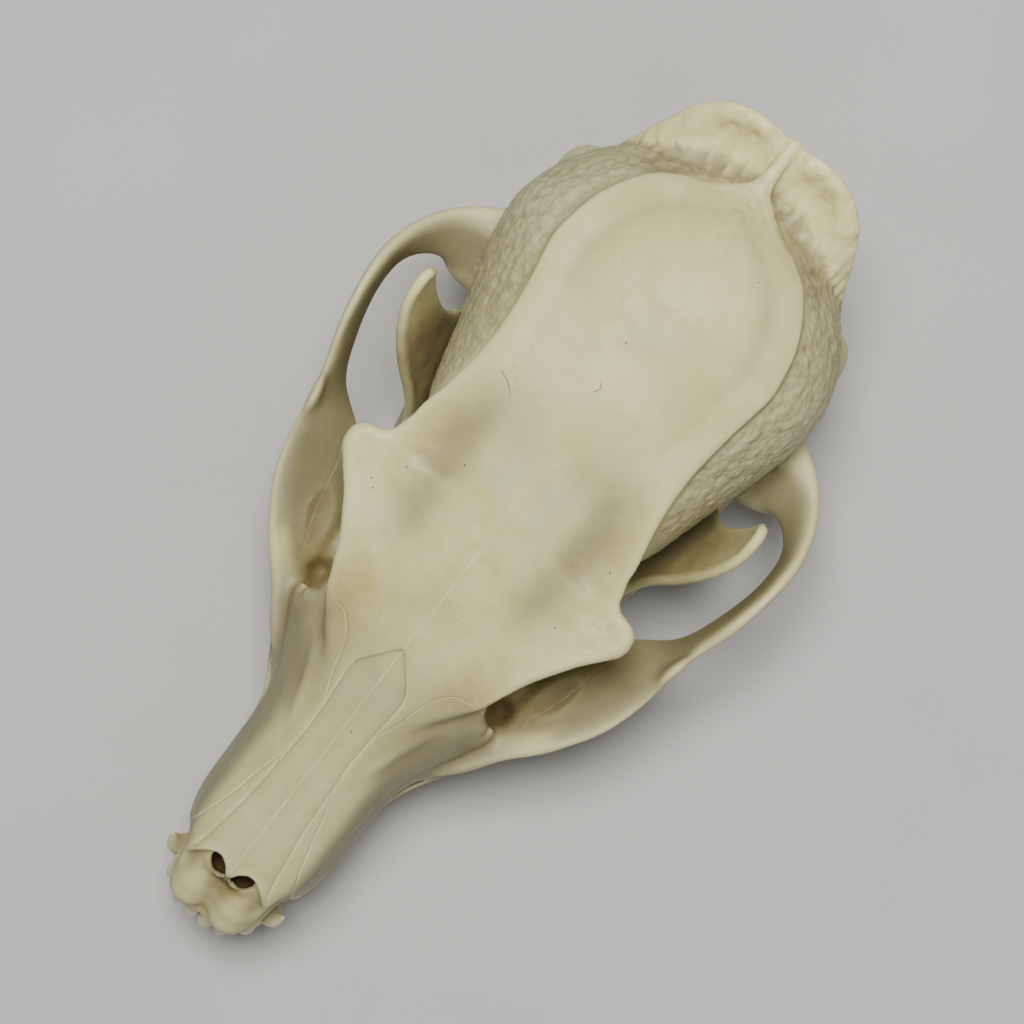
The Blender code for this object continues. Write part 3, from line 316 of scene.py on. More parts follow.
LOWER_CUSPS = [
    ((0.95, -56.2, 12.2), (0.9, -57.4, 15.8), 1.5, 1.25, BROAD),
    ((2.35, -56.0, 12.2), (2.45, -57.1, 15.8), 1.6, 1.4, BROAD),
    ((3.8, -55.2, 12.2), (4.1, -56.2, 15.8), 1.9, 1.6, BLUNT),
    ((4.3, -54.8, 12.2), (4.7, -55.2, 14.9), 1.5, 1.2, BLUNT),
    ((6.2, -47.2, 11.9), (6.3, -47.6, 14.2), 2.3, 1.6, BLUNT),
    ((6.7, -42.6, 11.8), (6.8, -43.0, 15.2), 3.8, 1.9, SHARP),
    ((6.8, -41.2, 11.8), (6.9, -40.5, 13.5), 3.0, 1.8, BLUNT),
    ((7.3, -34.9, 11.8), (7.4, -35.3, 15.6), 4.2, 2.0, SHARP),
    ((7.4, -33.4, 11.8), (7.5, -32.6, 13.9), 3.2, 2.0, BLUNT),
    ((8.1, -27.2, 11.8), (8.2, -27.6, 16.0), 4.2, 2.2, SHARP),
    ((8.3, -25.8, 11.8), (8.4, -25.1, 14.8), 3.0, 2.2, BLUNT),
    ((8.0, -28.6, 11.8), (8.0, -29.4, 13.4), 2.0, 1.8, BLUNT),
    ((9.2, -21.6, 11.8), (9.3, -22.1, 16.2), 3.4, 2.6, BLUNT),
    ((10.0, -18.6, 11.8), (10.1, -18.7, 18.2), 4.2, 2.9, SHARP),
    ((9.2, -17.6, 11.8), (9.0, -17.5, 15.8), 2.2, 1.8, BLUNT),
    ((11.3, -14.8, 11.9), (11.5, -14.9, 14.9), 2.6, 2.2, BLUNT),
    ((10.0, -14.6, 11.9), (9.8, -14.6, 14.6), 2.4, 2.0, BLUNT),
    ((10.7, -14.6, 11.9), (10.7, -14.6, 13.9), 4.4, 3.6, BROAD),
    ((12.8, -10.4, 12.3), (12.9, -10.5, 15.0), 2.3, 2.0, BLUNT),
    ((11.5, -10.3, 12.3), (11.3, -10.4, 14.9), 2.3, 2.0, BLUNT),
    ((12.4, -8.3, 12.3), (12.4, -8.2, 14.3), 2.4, 2.6, BLUNT),
    ((12.2, -9.4, 12.2), (12.2, -9.4, 13.9), 4.4, 3.6, BROAD),
    ((13.3, -5.2, 12.8), (13.2, -5.2, 14.6), 2.4, 2.3, BROAD),
]
LOWER_CANINE = [
    (4.6, -50.4, 8.4), (5.4, -52.0, 12.0), (6.8, -53.2, 15.6), (8.0, -53.2, 18.4), (8.7, -52.2, 20.6),
]
ROOT_DEPTH = 1.8
TOOTH_SIDES = 24

# Canine by share of its length: half width
CANINE_PROFILE = [(0.0, 1.15), (0.28, 1.35), (0.45, 1.28), (0.7, 0.9), (0.9, 0.48), (1.0, 0.16)]
CANINE_RINGS = 26

# Small forms that only the scene has: balls by middle and radii, with the turn of one in radians, and the
# coronoid's front rim by its points
JUGAL_PROCESS = ((27.5, 2.2, 33.5), (0.85, 2.7, 1.3))
JUGAL_PROCESS_TURN = -0.22
SMALL_HOLES = [
    ((8.4, -36.0, 25.0), (0.5, 0.5, 0.5)),
    ((11.3, 7.4, 27.4), (1.4, 1.2, 1.0)),
    ((12.6, 10.6, 26.2), (1.4, 1.2, 1.0)),
    ((6.9, -9.6, 18.6), (0.7, 1.0, 0.9)),
    ((3.0, -51.6, 19.2), (0.9, 2.4, 1.4)),
    ((14.2, -17.6, 30.4), (0.8, 0.9, 1.0)),
]
JAW_HOLES = [
    ((8.3, -43.6, 6.6), (1.2, 0.9, 0.55)),
    ((9.8, -37.0, 6.2), (0.9, 0.7, 0.5)),
    ((16.9, 9.4, 11.2), (1.3, 1.7, 1.0)),
]
CORONOID_RIM = [
    (16.6, 2.6, 15.0), (17.0, 6.0, 20.6), (18.7, 9.0, 27.0), (21.1, 11.3, 32.2), (23.3, 13.9, 37.0),
    (24.8, 17.0, 40.6), (25.2, 20.2, 42.2), (24.9, 22.4, 41.8),
]
CORONOID_RIM_RADIUS = 0.75

# Relief: middles and radii of hills and dips, and the troughs of the roof by (y, distance from the middle)
KNOB = ((19.4, 0.4, 45.4), (2.6, 2.6, 2.6))
KNOB_GRAIN = ((18.6, 1.0, 45.6), (4.2, 4.0, 3.0))
JUNCTION = ((0.0, 49.5, 51.0), (3.4, 3.4, 4.0))
BROW_DIP = ((0.0, -12.0, 43.0), (4.0, 9.0, 6.0))
CHEEK_DIP = ((8.8, -25.0, 33.0), (2.6, 7.0, 5.0))
TROUGH_LINE = [(-4.0, 9.2), (3.0, 10.1), (9.0, 10.6), (14.0, 10.0)]
TROUGH_WIDTH = 3.0
TROUGH_DEPTH = 0.95
ROOT_SWELLINGS_Y = (-42.2, -34.4, -26.6, -18.6, -9.4)

# Areas that are rounded off, as hills by height, middle and radii, and the rounds on a quick and a fine skin
SOCKET_AREA = [(1.5, (13.4, -15.8, 31.0), (5.0, 4.0, 7.0)), (1.2, (14.4, -17.8, 30.0), (2.8, 2.8, 4.0))]
ARCH_ROOT_AREA = [(1.6, (22.0, 29.6, 28.6), (6.0, 6.5, 4.6))]
TUBERCLE_AREA = [(1.4, (27.0, 1.4, 33.6), (2.2, 4.6, 2.6))]
NOSE_AREA = [(1.4, (3.0, -55.5, 25.0), (4.5, 4.5, 4.0))]
NAPE_AREA = [(1.3, (9.0, 52.0, 45.0), (8.0, 3.5, 6.0))]
EAVES_AREA = [(1.8, (8.4, -21.0, 38.0), (3.4, 5.5, 4.0))]
BOWLS_AREA = [(1.6, (8.4, 55.6, 48.4), (7.0, 3.6, 4.0))]
SOFTENING_ROUNDS = ((16, 56), (12, 44), (8, 26), (12, 44))

# Stains, tones and painted shade: strength, middle and radii
# The first rows are partly stain and partly painted shade in pits, openings and under the brow
BROWN_STAIN_AND_SHADE_SPOTS = [
    (0.9, (13.8, -14.0, 25.5), (3.2, 4.4, 5.0)),
    (0.5, (10.5, -4.0, 31.0), (3.6, 11.0, 6.0)),
    (0.26, (10.2, -15.5, 39.0), (3.2, 5.0, 5.0)),
    (0.9, (19.0, 37.8, 26.0), (3.4, 3.4, 3.0)),
    (0.8, (0.0, 50.0, 30.4), (5.0, 4.0, 5.0)),
    (1.3, (1.4, -52.2, 26.0), (2.2, 1.3, 3.0)),
    (0.5, (15.4, 12.0, 27.0), (4.0, 6.0, 4.0)),
]
JAW_BROWN_STAIN_AND_SHADE_SPOTS = [(0.4, (18.0, 12.0, 26.0), (3.0, 6.0, 7.0)), (0.5, (1.0, -53.0, 8.0), (1.4, 5.0, 5.0))]
# Painted shade inside the eye socket pit and the ear opening
DEEP_SHADE_SPOTS = [(0.7, (14.0, -14.6, 24.6), (1.8, 2.2, 3.0)), (1.0, (17.0, 37.8, 26.2), (2.4, 2.4, 2.4))]
THIN_SPOTS = [
    (0.9, (2.2, -21.5, 38.0), (2.2, 4.2, 5.0)),
    (0.8, (3.4, 8.5, 50.0), (3.0, 3.4, 6.0)),
    (0.6, (6.2, 2.0, 47.0), (2.4, 4.0, 6.0)),
    (0.5, (0.0, 30.0, 55.0), (7.0, 9.0, 6.0)),
]
YELLOW_SPOTS = [
    (1.0, (10.0, -14.0, 39.0), (4.6, 6.0, 6.0)),
    (0.6, (13.0, 8.0, 47.0), (5.0, 9.0, 6.0)),
    (0.6, (0.0, -57.0, 20.0), (8.0, 4.0, 5.0)),
    (0.5, (9.0, 57.0, 45.0), (9.0, 5.0, 8.0)),
    (0.5, (0.0, -3.0, 46.0), (7.0, 10.0, 6.0)),
    (0.5, (22.0, -4.0, 26.0), (6.0, 12.0, 6.0)),
    (0.4, (28.0, 22.0, 30.0), (5.0, 9.0, 6.0)),
]

# Short hairlines and pinholes on the roof, by (x, y), and the radii in metres where a pinhole starts and ends
HAIRLINES = [
    [(-10.7, 17.5), (-9.9, 17.2), (-9.1, 16.7), (-8.5, 16.1)],
    [(-0.8, 22.3), (-0.5, 22.8), (-0.8, 23.4)],
]
PINHOLES = [
    (-12.9, 2.0), (-15.4, -1.6), (-14.6, -2.4), (12.5, -2.3), (13.6, 6.8), (1.1, -27.4), (-7.6, 6.3),
    (-1.4, 28.8),
]
PINHOLE_RADII = (0.00018, 0.00007)

# Colours
IVORY = (0.60, 0.555, 0.235)
PALE = (0.72, 0.69, 0.36)
WARM = (0.50, 0.405, 0.12)
TEMPLE = (0.355, 0.322, 0.21)
# Painted shade on steep faces and under the arches
SIDE_SHADE = (0.235, 0.206, 0.103)
SHADE = (0.24, 0.215, 0.13)
# Painted shade inside openings
DEEP_SHADE = (0.06, 0.036, 0.014)
# Yellow tone of the crest lobes with painted light
LOBE_TONE_AND_LIGHT = (0.79, 0.725, 0.36)
# Painted shade over the snout
SNOUT_SHADE = (0.345, 0.318, 0.168)
# Hollows: partly stain, partly painted shade
SUNK_STAIN_AND_SHADE = (0.22, 0.16, 0.05)
# Partly stain, partly painted shade in pits and hollows
BROWN_STAIN_AND_SHADE = (0.22, 0.14, 0.035)
BLUISH = (0.48, 0.53, 0.42)
CRACK = (0.20, 0.14, 0.07)
SUTURE = (0.80, 0.77, 0.48)
ENAMEL = (0.60, 0.555, 0.34)
ENAMEL_WARM = (0.54, 0.47, 0.25)
ENAMEL_WORN = (0.72, 0.68, 0.48)
FLOOR_DARK = (0.50, 0.50, 0.49)
FLOOR_LIGHT = (0.53, 0.53, 0.52)

# The camera looks straight down, as in the photo. Its place is in metres, its axes are right, up and back
PICTURE_PIXELS = 1024.0
FOCAL_PIXELS = 3502.6
SENSOR_MM = 36.0
CAMERA_PLACE = (0.00015, 0.0054, 0.458)
CAMERA_AXES = ((0.7927, 0.6097, 0.0), (-0.6097, 0.7927, 0.0), (0.0, 0.0, 1.0))
CAMERA_TURN = math.radians(0.25)

# Sutures by half width and strength, and the looks of bone and enamel. A relief is a strength and a depth
SUTURE_LOOKS = {"nasal": (0.15, 1.0), "premaxilla": (0.19, 1.0), "frontal": (0.15, 1.0), "jugal": (0.15, 0.4)}
BONE_LOOK = {
    "IOR": 1.5,
    "Subsurface Weight": 0.18,
    "Subsurface Radius": (1.0, 0.62, 0.34),
    "Subsurface Scale": 0.0012,
}
ENAMEL_LOOK = {
    "IOR": 1.6,
    "Subsurface Weight": 0.12,
    "Subsurface Radius": (1.0, 0.7, 0.5),
    "Subsurface Scale": 0.0008,
}
BONE_RELIEF = (0.55, 0.00012)
ENAMEL_RELIEF = (0.3, 0.00005)

# Stage, in metres and watts. A light is its name, place, width, power and colour
FLOOR_RADIUS = 1.6
LIGHT_TARGET = (0.0, 0.0, 0.03)
LIGHTS = [
    ("key", (-0.10, 0.12, 0.85), 0.30, 9.6, (1.0, 0.985, 0.95)),
    ("fill", (0.45, -0.3, 0.6), 0.5, 0.8, (1.0, 1.0, 1.0)),
]
WORLD_STRENGTH = 0.06


def new_collection(name):
    made = bpy.data.collections.new(name)
    bpy.context.scene.collection.children.link(made)
    return made


def smooth(points):
    """A smooth function through the points, with no overshoot between them."""
    xs = np.array([p[0] for p in points])
    ys = np.array([p[1] for p in points])
    steps = np.diff(xs)
    slopes = np.diff(ys) / steps
    tangents = np.concatenate([slopes[:1], 0.5 * (slopes[1:] + slopes[:-1]), slopes[-1:]])
    turns = slopes[1:] * slopes[:-1] <= 0.0
    tangents[1:-1][turns] = 0.0
    limit = 3.0 * np.minimum(np.abs(slopes[1:]), np.abs(slopes[:-1]))
    tangents[1:-1] = np.clip(tangents[1:-1], -limit, limit)

    def value(x):
        x = min(max(x, xs[0]), xs[-1])
        i = min(int(np.searchsorted(xs, x, side="right")) - 1, len(steps) - 1)
        t = (x - xs[i]) / steps[i]
        rise = (2 * t**3 - 3 * t**2 + 1) * ys[i] + (3 * t**2 - 2 * t**3) * ys[i + 1]
        bend = (t**3 - 2 * t**2 + t) * tangents[i] + (t**3 - t**2) * tangents[i + 1]
        return float(rise + bend * steps[i])

    return value


def through(points, count):
    """Evenly spread points on a Catmull-Rom curve through the given ones."""
    points = np.array(points, float)
    padded = np.vstack([2 * points[0] - points[1], points, 2 * points[-1] - points[-2]])
    made = []
    for at in np.linspace(0.0, len(points) - 1.0, count):
        i = min(int(at), len(points) - 2)
        t = at - i
        a, b, c, d = padded[i : i + 4]
        turn = (2 * a - 5 * b + 4 * c - d) * t**2 + (3 * b - 3 * c + d - a) * t**3
        made.append(0.5 * (2 * b + (c - a) * t + turn))
    return np.array(made)


def power(value, exponent):
    return math.copysign(abs(value) ** exponent, value)


def angles(count, start=0.0):
    return [2.0 * math.pi * (k + start) / count for k in range(count)]


def mesh_object(name, bm, collection):
    """Closes a bmesh made in millimetres as an object in metres, with its faces pointing out."""
    bmesh.ops.recalc_face_normals(bm, faces=bm.faces)
    bmesh.ops.scale(bm, vec=(MM, MM, MM), verts=bm.verts)
    return plain_object(name, bm, collection)


def plain_object(name, bm, collection):
    mesh = bpy.data.meshes.new(name)
    bm.to_mesh(mesh)
    bm.free()
    obj = bpy.data.objects.new(name, mesh)
    collection.objects.link(obj)
    return obj


def loft(name, rings, collection, side=1.0):
    """A closed skin over rings of equal point counts, with a fan over each end. Side -1 mirrors it."""
    bm = bmesh.new()
    rows = [[bm.verts.new((x * side, y, z)) for x, y, z in ring] for ring in rings]
    sides = len(rows[0])
    for low, high in zip(rows, rows[1:]):
        for i in range(sides):
            j = (i + 1) % sides
            bm.faces.new((low[i], low[j], high[j], high[i]))
    for row in (rows[0], rows[-1]):
        middle = bm.verts.new(sum((v.co for v in row), Vector()) / sides)
        for i in range(sides):
            bm.faces.new((row[i], row[(i + 1) % sides], middle))
    return mesh_object(name, bm, collection)


def ball(name, middle, radii, collection, side=1.0, turn=0.0):
    """A ball with three radii, turned about Z. Side -1 mirrors it."""
    x, y, z = middle
    bm = bmesh.new()
    bmesh.ops.create_uvsphere(bm, u_segments=BALL_SIDES, v_segments=BALL_SIDES // 2 + 2, radius=1.0)
    turned = Matrix.Rotation(turn * side, 4, "Z") @ Matrix.Diagonal((*radii, 1.0))
    bmesh.ops.transform(bm, matrix=Matrix.Translation((x * side, y, z)) @ turned, verts=bm.verts)
    return mesh_object(name, bm, collection)


def directions(middles):
    """The way that a path runs at each of its points."""
    last = len(middles) - 1
    return [middles[min(i + 1, last)] - middles[max(i - 1, 0)] for i in range(len(middles))]


def blade(name, stations, collection, count, side):
    """A thin rounded plate between two edges, whose thickness changes from one edge to the other."""
    rows = through([(*edge, *root, at_edge, at_root) for edge, root, at_edge, at_root in stations], count)
    middles = 0.5 * (rows[:, 0:3] + rows[:, 3:6])
    rings = []
    for middle, along, row in zip(middles, directions(middles), rows):
        across = row[0:3] - row[3:6]
        reach = 0.5 * np.linalg.norm(across)
        across /= 2.0 * reach
        out = np.cross(along, across)
        out /= np.linalg.norm(out)
        ring = []
        for angle in angles(BLADE_SIDES):
            toward = power(math.cos(angle), 0.75)
            thick = row[7] + (row[6] - row[7]) * 0.5 * (1.0 + toward)
            ring.append(middle + across * reach * toward + out * 0.5 * thick * power(math.sin(angle), 0.8))
        rings.append(ring)
    return loft(name, rings, collection, side)


def mirrored_ring(half):
    """Closes the outline of the left half, from the top to the bottom middle, with its mirror image."""
    return half + [(-x, y, z) for x, y, z in reversed(half[1:-1])]


def levels(stations, count):
    return np.linspace(stations[0][0], stations[-1][0], count)


def snout(collection):
    jaw_half, cheek_half = smooth(SNOUT_JAW_HALF), smooth(SNOUT_CHEEK_HALF)
    cheek_z, roof_half, roof_z = smooth(SNOUT_CHEEK_Z), smooth(SNOUT_ROOF_HALF), smooth(SNOUT_ROOF_Z)
    rings = []
    for y in levels(SNOUT_ROOF_Z, 120):
        top, jaw, roof, cheek, cheek_top = roof_z(y), jaw_half(y), roof_half(y), cheek_half(y), cheek_z(y)
        outline = [
            (0.0, top),
            (0.55 * roof, top - 0.1),
            (roof, top - 0.8),
            (0.5 * (roof + cheek) + 0.7, 0.5 * (top + cheek_top) + 0.6),
            (cheek, cheek_top),
            (jaw, UPPER_ALVEOLUS_Z + 3.6),
            (jaw - 0.3, UPPER_ALVEOLUS_Z + 1.0),
            (jaw - 1.4, UPPER_ALVEOLUS_Z),
            (jaw - 3.2, UPPER_ALVEOLUS_Z + 0.4),
            (0.5 * jaw - 0.5, UPPER_ALVEOLUS_Z + 1.6),
            (0.0, UPPER_ALVEOLUS_Z + 1.8),
        ]
        lean = RIM_LEAN * max(0.0, (y - RIM_LEAN_START_Y) / (SNOUT_ROOF_Z[-1][0] - RIM_LEAN_START_Y))
        half = through(outline, 41)
        rings.append(mirrored_ring([(x, y + lean * (z - RIM_MIDDLE_Z), z) for x, z in half]))
    return loft("snout", rings, collection)


def molar_floor(collection):
    half, top = smooth(FLOOR_HALF), smooth(FLOOR_TOP)
    rings = []
    for y in levels(FLOOR_HALF, 40):
        wide = half(y)
        outline = [
            (0.0, top(y)),
            (0.7 * wide, top(y)),
            (wide - 0.6, top(y) - 1.6),
            (wide, UPPER_ALVEOLUS_Z + 2.4),
            (wide - 1.0, UPPER_ALVEOLUS_Z + 0.2),
            (wide - 3.0, UPPER_ALVEOLUS_Z),
            (0.55 * wide, UPPER_ALVEOLUS_Z + 1.4),
            (0.0, UPPER_ALVEOLUS_Z + 1.8),
        ]
        rings.append(mirrored_ring([(x, y, z) for x, z in through(outline, 29)]))
    return loft("molar_floor", rings, collection)


def table(collection):
    """The smooth roof between the temporal ridges, a slab with a dished surface and a rounded rim."""
    half, edge, middle = smooth(TABLE_HALF), smooth(TABLE_EDGE_Z), smooth(TABLE_MIDDLE_Z)
    rings = []
    for y in levels(TABLE_HALF, 200):
        wide, low = half(y), edge(y)
        rise = middle(y) - low
        dish = DISH_DEPTH * stripe(y, DISH_MIDDLE_Y, DISH_LENGTH)
        outline = []
        for share in TABLE_SHARES:
            hollow = dish * stripe(share, DISH_SHARE, 0.2)
            outline.append((wide * share, low + rise * (1.0 - share**2.2) - hollow))
        outline.append((wide - 0.1, low - 0.35 * TABLE_RIM))
        outline.append((max(wide - 0.7, 0.74 * wide), low - TABLE_RIM))
        outline.append((0.72 * wide, low - TABLE_RIM - 0.26 * wide))
        outline.append((0.0, low - TABLE_RIM - 0.34 * wide))
        rings.append(mirrored_ring([(x, y, z) for x, z in outline]))
    return loft("table", rings, collection)


def case(collection):
    half, top, bottom, widest = (smooth(row) for row in (CASE_HALF, CASE_TOP, CASE_BOTTOM, CASE_WIDEST_Z))
    rings = []
    for y in levels(CASE_HALF, 110):
        ring = []
        for angle in angles(112):
            up = math.sin(angle)
            reach = (top(y) if up > 0.0 else 2.0 * widest(y) - bottom(y)) - widest(y)
            ring.append((half(y) * power(math.cos(angle), 0.92), y, widest(y) + reach * power(up, 0.92)))
        rings.append(ring)
    return loft("case", rings, collection)


def skull_base(collection):
    half, bottom = smooth(BASE_HALF), smooth(BASE_BOTTOM)
    rings = []
    for y in levels(BASE_HALF, 60):
        reach = 0.5 * (BASE_TOP_Z - bottom(y))
        ring = []
        for angle in angles(56):
            z = bottom(y) + reach + reach * power(math.sin(angle), 0.7)
            ring.append((half(y) * power(math.cos(angle), 0.7), y, z))
        rings.append(ring)
    return loft("skull_base", rings, collection)


def tube(name, path, radius, collection, side):
    """A round closed rod through the points."""
    middles = through(path, 16 * len(path))
    rings = []
    for middle, along in zip(middles, directions(middles)):
        across = np.cross(along, (0.0, 0.0, 1.0))
        across /= np.linalg.norm(across)
        other = np.cross(along, across)
        other /= np.linalg.norm(other)
        rings.append([middle + radius * (across * math.cos(at) + other * math.sin(at)) for at in angles(16)])
    return loft(name, rings, collection, side)


def canine(name, path, collection, side):
    """A long curved tooth, oval in section, that narrows to its tip."""
    sizes = smooth(CANINE_PROFILE)
    rings = []
    for share, (x, y, z) in zip(np.linspace(0.0, 1.0, CANINE_RINGS), through(path, CANINE_RINGS)):
        size = sizes(share)
        ring = [(x + size * math.cos(at), y + 1.4 * size * math.sin(at), z) for at in angles(TOOTH_SIDES)]
        rings.append(ring)
    return loft(name, rings, collection, side)


def cusp(name, base, tip, length, width, blunt, collection, side):
    """One tooth or one cusp of a molar, swollen above its neck, from a root sunk in the bone to its tip."""
    base, tip = np.array(base), np.array(tip)
    crown = tip - base
    root = -ROOT_DEPTH / np.linalg.norm(crown)
    profile = [
        (root, 0.62), (0.0, 0.84), (0.14, 0.98), (0.32, 0.94), (0.55, 0.62 + 0.36 * blunt),
        (0.78, 0.32 + 0.62 * blunt), (0.93, 0.12 + 0.62 * blunt), (1.0, 0.03 + 0.36 * blunt),
    ]
    size_at = smooth(profile)
    rings = []
    for share in np.linspace(root, 1.0, 20):
        x, y, z = base + crown * share
        wide, long = 0.5 * width * size_at(share), 0.5 * length * size_at(share)
        ring = [(x + wide * math.cos(at), y + long * math.sin(at), z) for at in angles(TOOTH_SIDES, 0.5)]
        rings.append(ring)
    return loft(name, rings, collection, side)


def fixed(obj):
    """Replaces the object's mesh with what its modifiers make of it, and drops the modifiers."""
    graph = bpy.context.evaluated_depsgraph_get()
    mesh = bpy.data.meshes.new_from_object(obj.evaluated_get(graph))
    obj.modifiers.clear()
    obj.data = mesh
    return obj


def fuse(name, pieces, voxel, relax, collection):
    """Fuses overlapping closed pieces into one even, fine skin, and relaxes it by a number of rounds."""
    bm = bmesh.new()
    for piece in pieces:
        bm.from_mesh(piece.data)
        bpy.data.objects.remove(piece)
    obj = plain_object(name, bm, collection)
    remesh = obj.modifiers.new("Fuse", "REMESH")
    remesh.mode = "VOXEL"
    remesh.voxel_size = voxel * MM
    smoother = obj.modifiers.new("Relax", "SMOOTH")
    smoother.factor = 0.5
    smoother.iterations = relax
    return fixed(obj)


def hollowed(obj, hollows):
    """Takes the closed hollows out of the object."""
    group = new_collection("hollows")
    for hollow in hollows:
        for held in list(hollow.users_collection):
            held.objects.unlink(hollow)
        group.objects.link(hollow)
    boolean = obj.modifiers.new("Hollows", "BOOLEAN")
    boolean.operation = "DIFFERENCE"
    boolean.operand_type = "COLLECTION"
    boolean.collection = group
    boolean.solver = "MANIFOLD"
    fixed(obj)
    for hollow in hollows:
        bpy.data.objects.remove(hollow)
    bpy.data.collections.remove(group)


def ramp(low, high, value):
    """0 below low, 1 above high and smooth between."""
    t = np.clip((value - low) / (high - low), 0.0, 1.0)
    return t * t * (3.0 - 2.0 * t)


def bump(points, middle, radii):
    """A soft hill of height 1 round a middle, the same on both sides of the skull."""
    away = (np.abs(points[:, 0]) - middle[0]) / radii[0]
    other = ((points[:, 1] - middle[1]) / radii[1]) ** 2 + ((points[:, 2] - middle[2]) / radii[2]) ** 2
    return np.exp(-(away**2 + other))


def spots(points, rows):
    """The sum of soft hills, each with its height, middle and radii."""
    return sum(height * bump(points, middle, radii) for height, middle, radii in rows)


def area(points, rows):
    return np.clip(spots(points, rows), 0.0, 1.0)


def stripe(value, middle, width):
    """1 where the value is at its middle, fading on both sides."""
    return np.exp(-(((value - middle) / width) ** 2))


def by_y(y, rows, **outside):
    return np.interp(y, [row[0] for row in rows], [row[1] for row in rows], **outside)


def hashed(x, y, z, seed):
    """A fixed value from 0 to 1 for each cell of a grid."""
    h = (x * 73856093) ^ (y * 19349663) ^ (z * 83492791) ^ (seed * 40503 + 977)
    h &= 0xFFFFFFFF
    h = ((h ^ (h >> 15)) * 2246822519) & 0xFFFFFFFF
    h = ((h ^ (h >> 13)) * 3266489917) & 0xFFFFFFFF
    h ^= h >> 16
    return h / 4294967295.0


def noise(points, size, seed):
    """Smooth noise from -1 to 1 whose lumps are about size across."""
    at = points / size
    base = np.floor(at).astype(np.int64)
    share = at - base
    share = share * share * (3.0 - 2.0 * share)
    total = np.zeros(len(points))
    for step in np.ndindex(2, 2, 2):
        weight = np.prod(np.where(step, share, 1.0 - share), axis=1)
        total += weight * hashed(*(base + step).T, seed)
    return 2.0 * total - 1.0


def pebbles(points, size, seed):
    """Rounded bumps packed side by side, 1 at their middles and 0 in the cracks between."""
    at = points / size
    base = np.floor(at).astype(np.int64)
    nearest = np.full(len(points), 9.0)
    for step in np.ndindex(3, 3, 3):
        cell = base + step - 1
        gap = np.zeros(len(points))
        for axis in range(3):
            seat = cell[:, axis] + hashed(*cell.T, seed + 7 * axis)
            gap += (seat - at[:, axis]) ** 2
        nearest = np.minimum(nearest, gap)
    return 1.0 - np.clip(nearest, 0.0, 1.0)


def from_line(across, y, line):
    """Signed distance in plan from a line, positive on its outer side."""
    line = through(line, 4 * len(line))
    nearest = np.full(len(across), 1e9)
    sign = np.ones(len(across))
    for (x0, y0), (x1, y1) in zip(line, line[1:]):
        dx, dy = x1 - x0, y1 - y0
        share = np.clip(((across - x0) * dx + (y - y0) * dy) / (dx * dx + dy * dy), 0.0, 1.0)
        ox, oy = across - x0 - share * dx, y - y0 - share * dy
        gap = ox * ox + oy * oy
        closer = gap < nearest
        nearest = np.where(closer, gap, nearest)
        sign = np.where(closer, np.sign(dx * oy - dy * ox), sign)
    return -sign * np.sqrt(nearest)


class Skin:
    """The points of a fine mesh in millimetres, with values kept on them for the materials."""

    def __init__(self, obj):
        self.obj = obj
        mesh = obj.data
        flat = np.empty(3 * len(mesh.vertices), np.float32)
        mesh.vertices.foreach_get("co", flat)
        self.points = flat.reshape(-1, 3).astype(float) / MM
        ends = np.empty(2 * len(mesh.edges), np.int32)
        mesh.edges.foreach_get("vertices", ends)
        self.ends = ends.reshape(-1, 2)
        self.degree = np.bincount(ends, minlength=len(self.points)).astype(float)
        self.kept = {}
        self.refresh()

    def refresh(self):
        """Writes the points back and reads the normals that they give."""
        self.obj.data.vertices.foreach_set("co", (self.points * MM).astype(np.float32).ravel())
        self.obj.data.update()
        flat = np.empty(3 * len(self.points), np.float32)
        self.obj.data.vertex_normals.foreach_get("vector", flat)
        self.normals = flat.reshape(-1, 3).astype(float)

    def half(self):
        """Each point's distance from the middle plane, and its y and z."""
        return np.abs(self.points[:, 0]), self.points[:, 1], self.points[:, 2]

    def around(self, values):
        """The mean of each point's neighbours."""
        a, b = self.ends.T
        total = np.bincount(a, weights=values[b], minlength=len(values))
        total += np.bincount(b, weights=values[a], minlength=len(values))
        return total / self.degree

    def spread(self, values, count):
        for _ in range(count):
            values = 0.5 * (values + self.around(values))
        return values

    def even(self, weight, count):
        """Rounds the skin off where the weight is."""
        for _ in range(count):
            for axis in range(3):
                values = self.points[:, axis]
                values += 0.5 * weight * (self.around(values) - values)

    def stands_out(self, count):
        """How far each point stands out of, or below when negative, the skin evened over a few neighbours."""
        even = np.stack([self.spread(self.points[:, axis], count) for axis in range(3)], axis=1)
        return np.einsum("ij,ij->i", self.points - even, self.normals)

    def push(self, distance):
        self.points += self.normals * distance[:, None]
        self.refresh()

    def keep(self, name, values):
        self.kept[name] = values

    def finish(self):
        mesh = self.obj.data
        for name, values in self.kept.items():
            attribute = mesh.attributes.new(name, "FLOAT", "POINT")
            attribute.data.foreach_set("value", values.astype(np.float32))
        mesh.polygons.foreach_set("use_smooth", np.ones(len(mesh.polygons), bool))
        mesh.update()


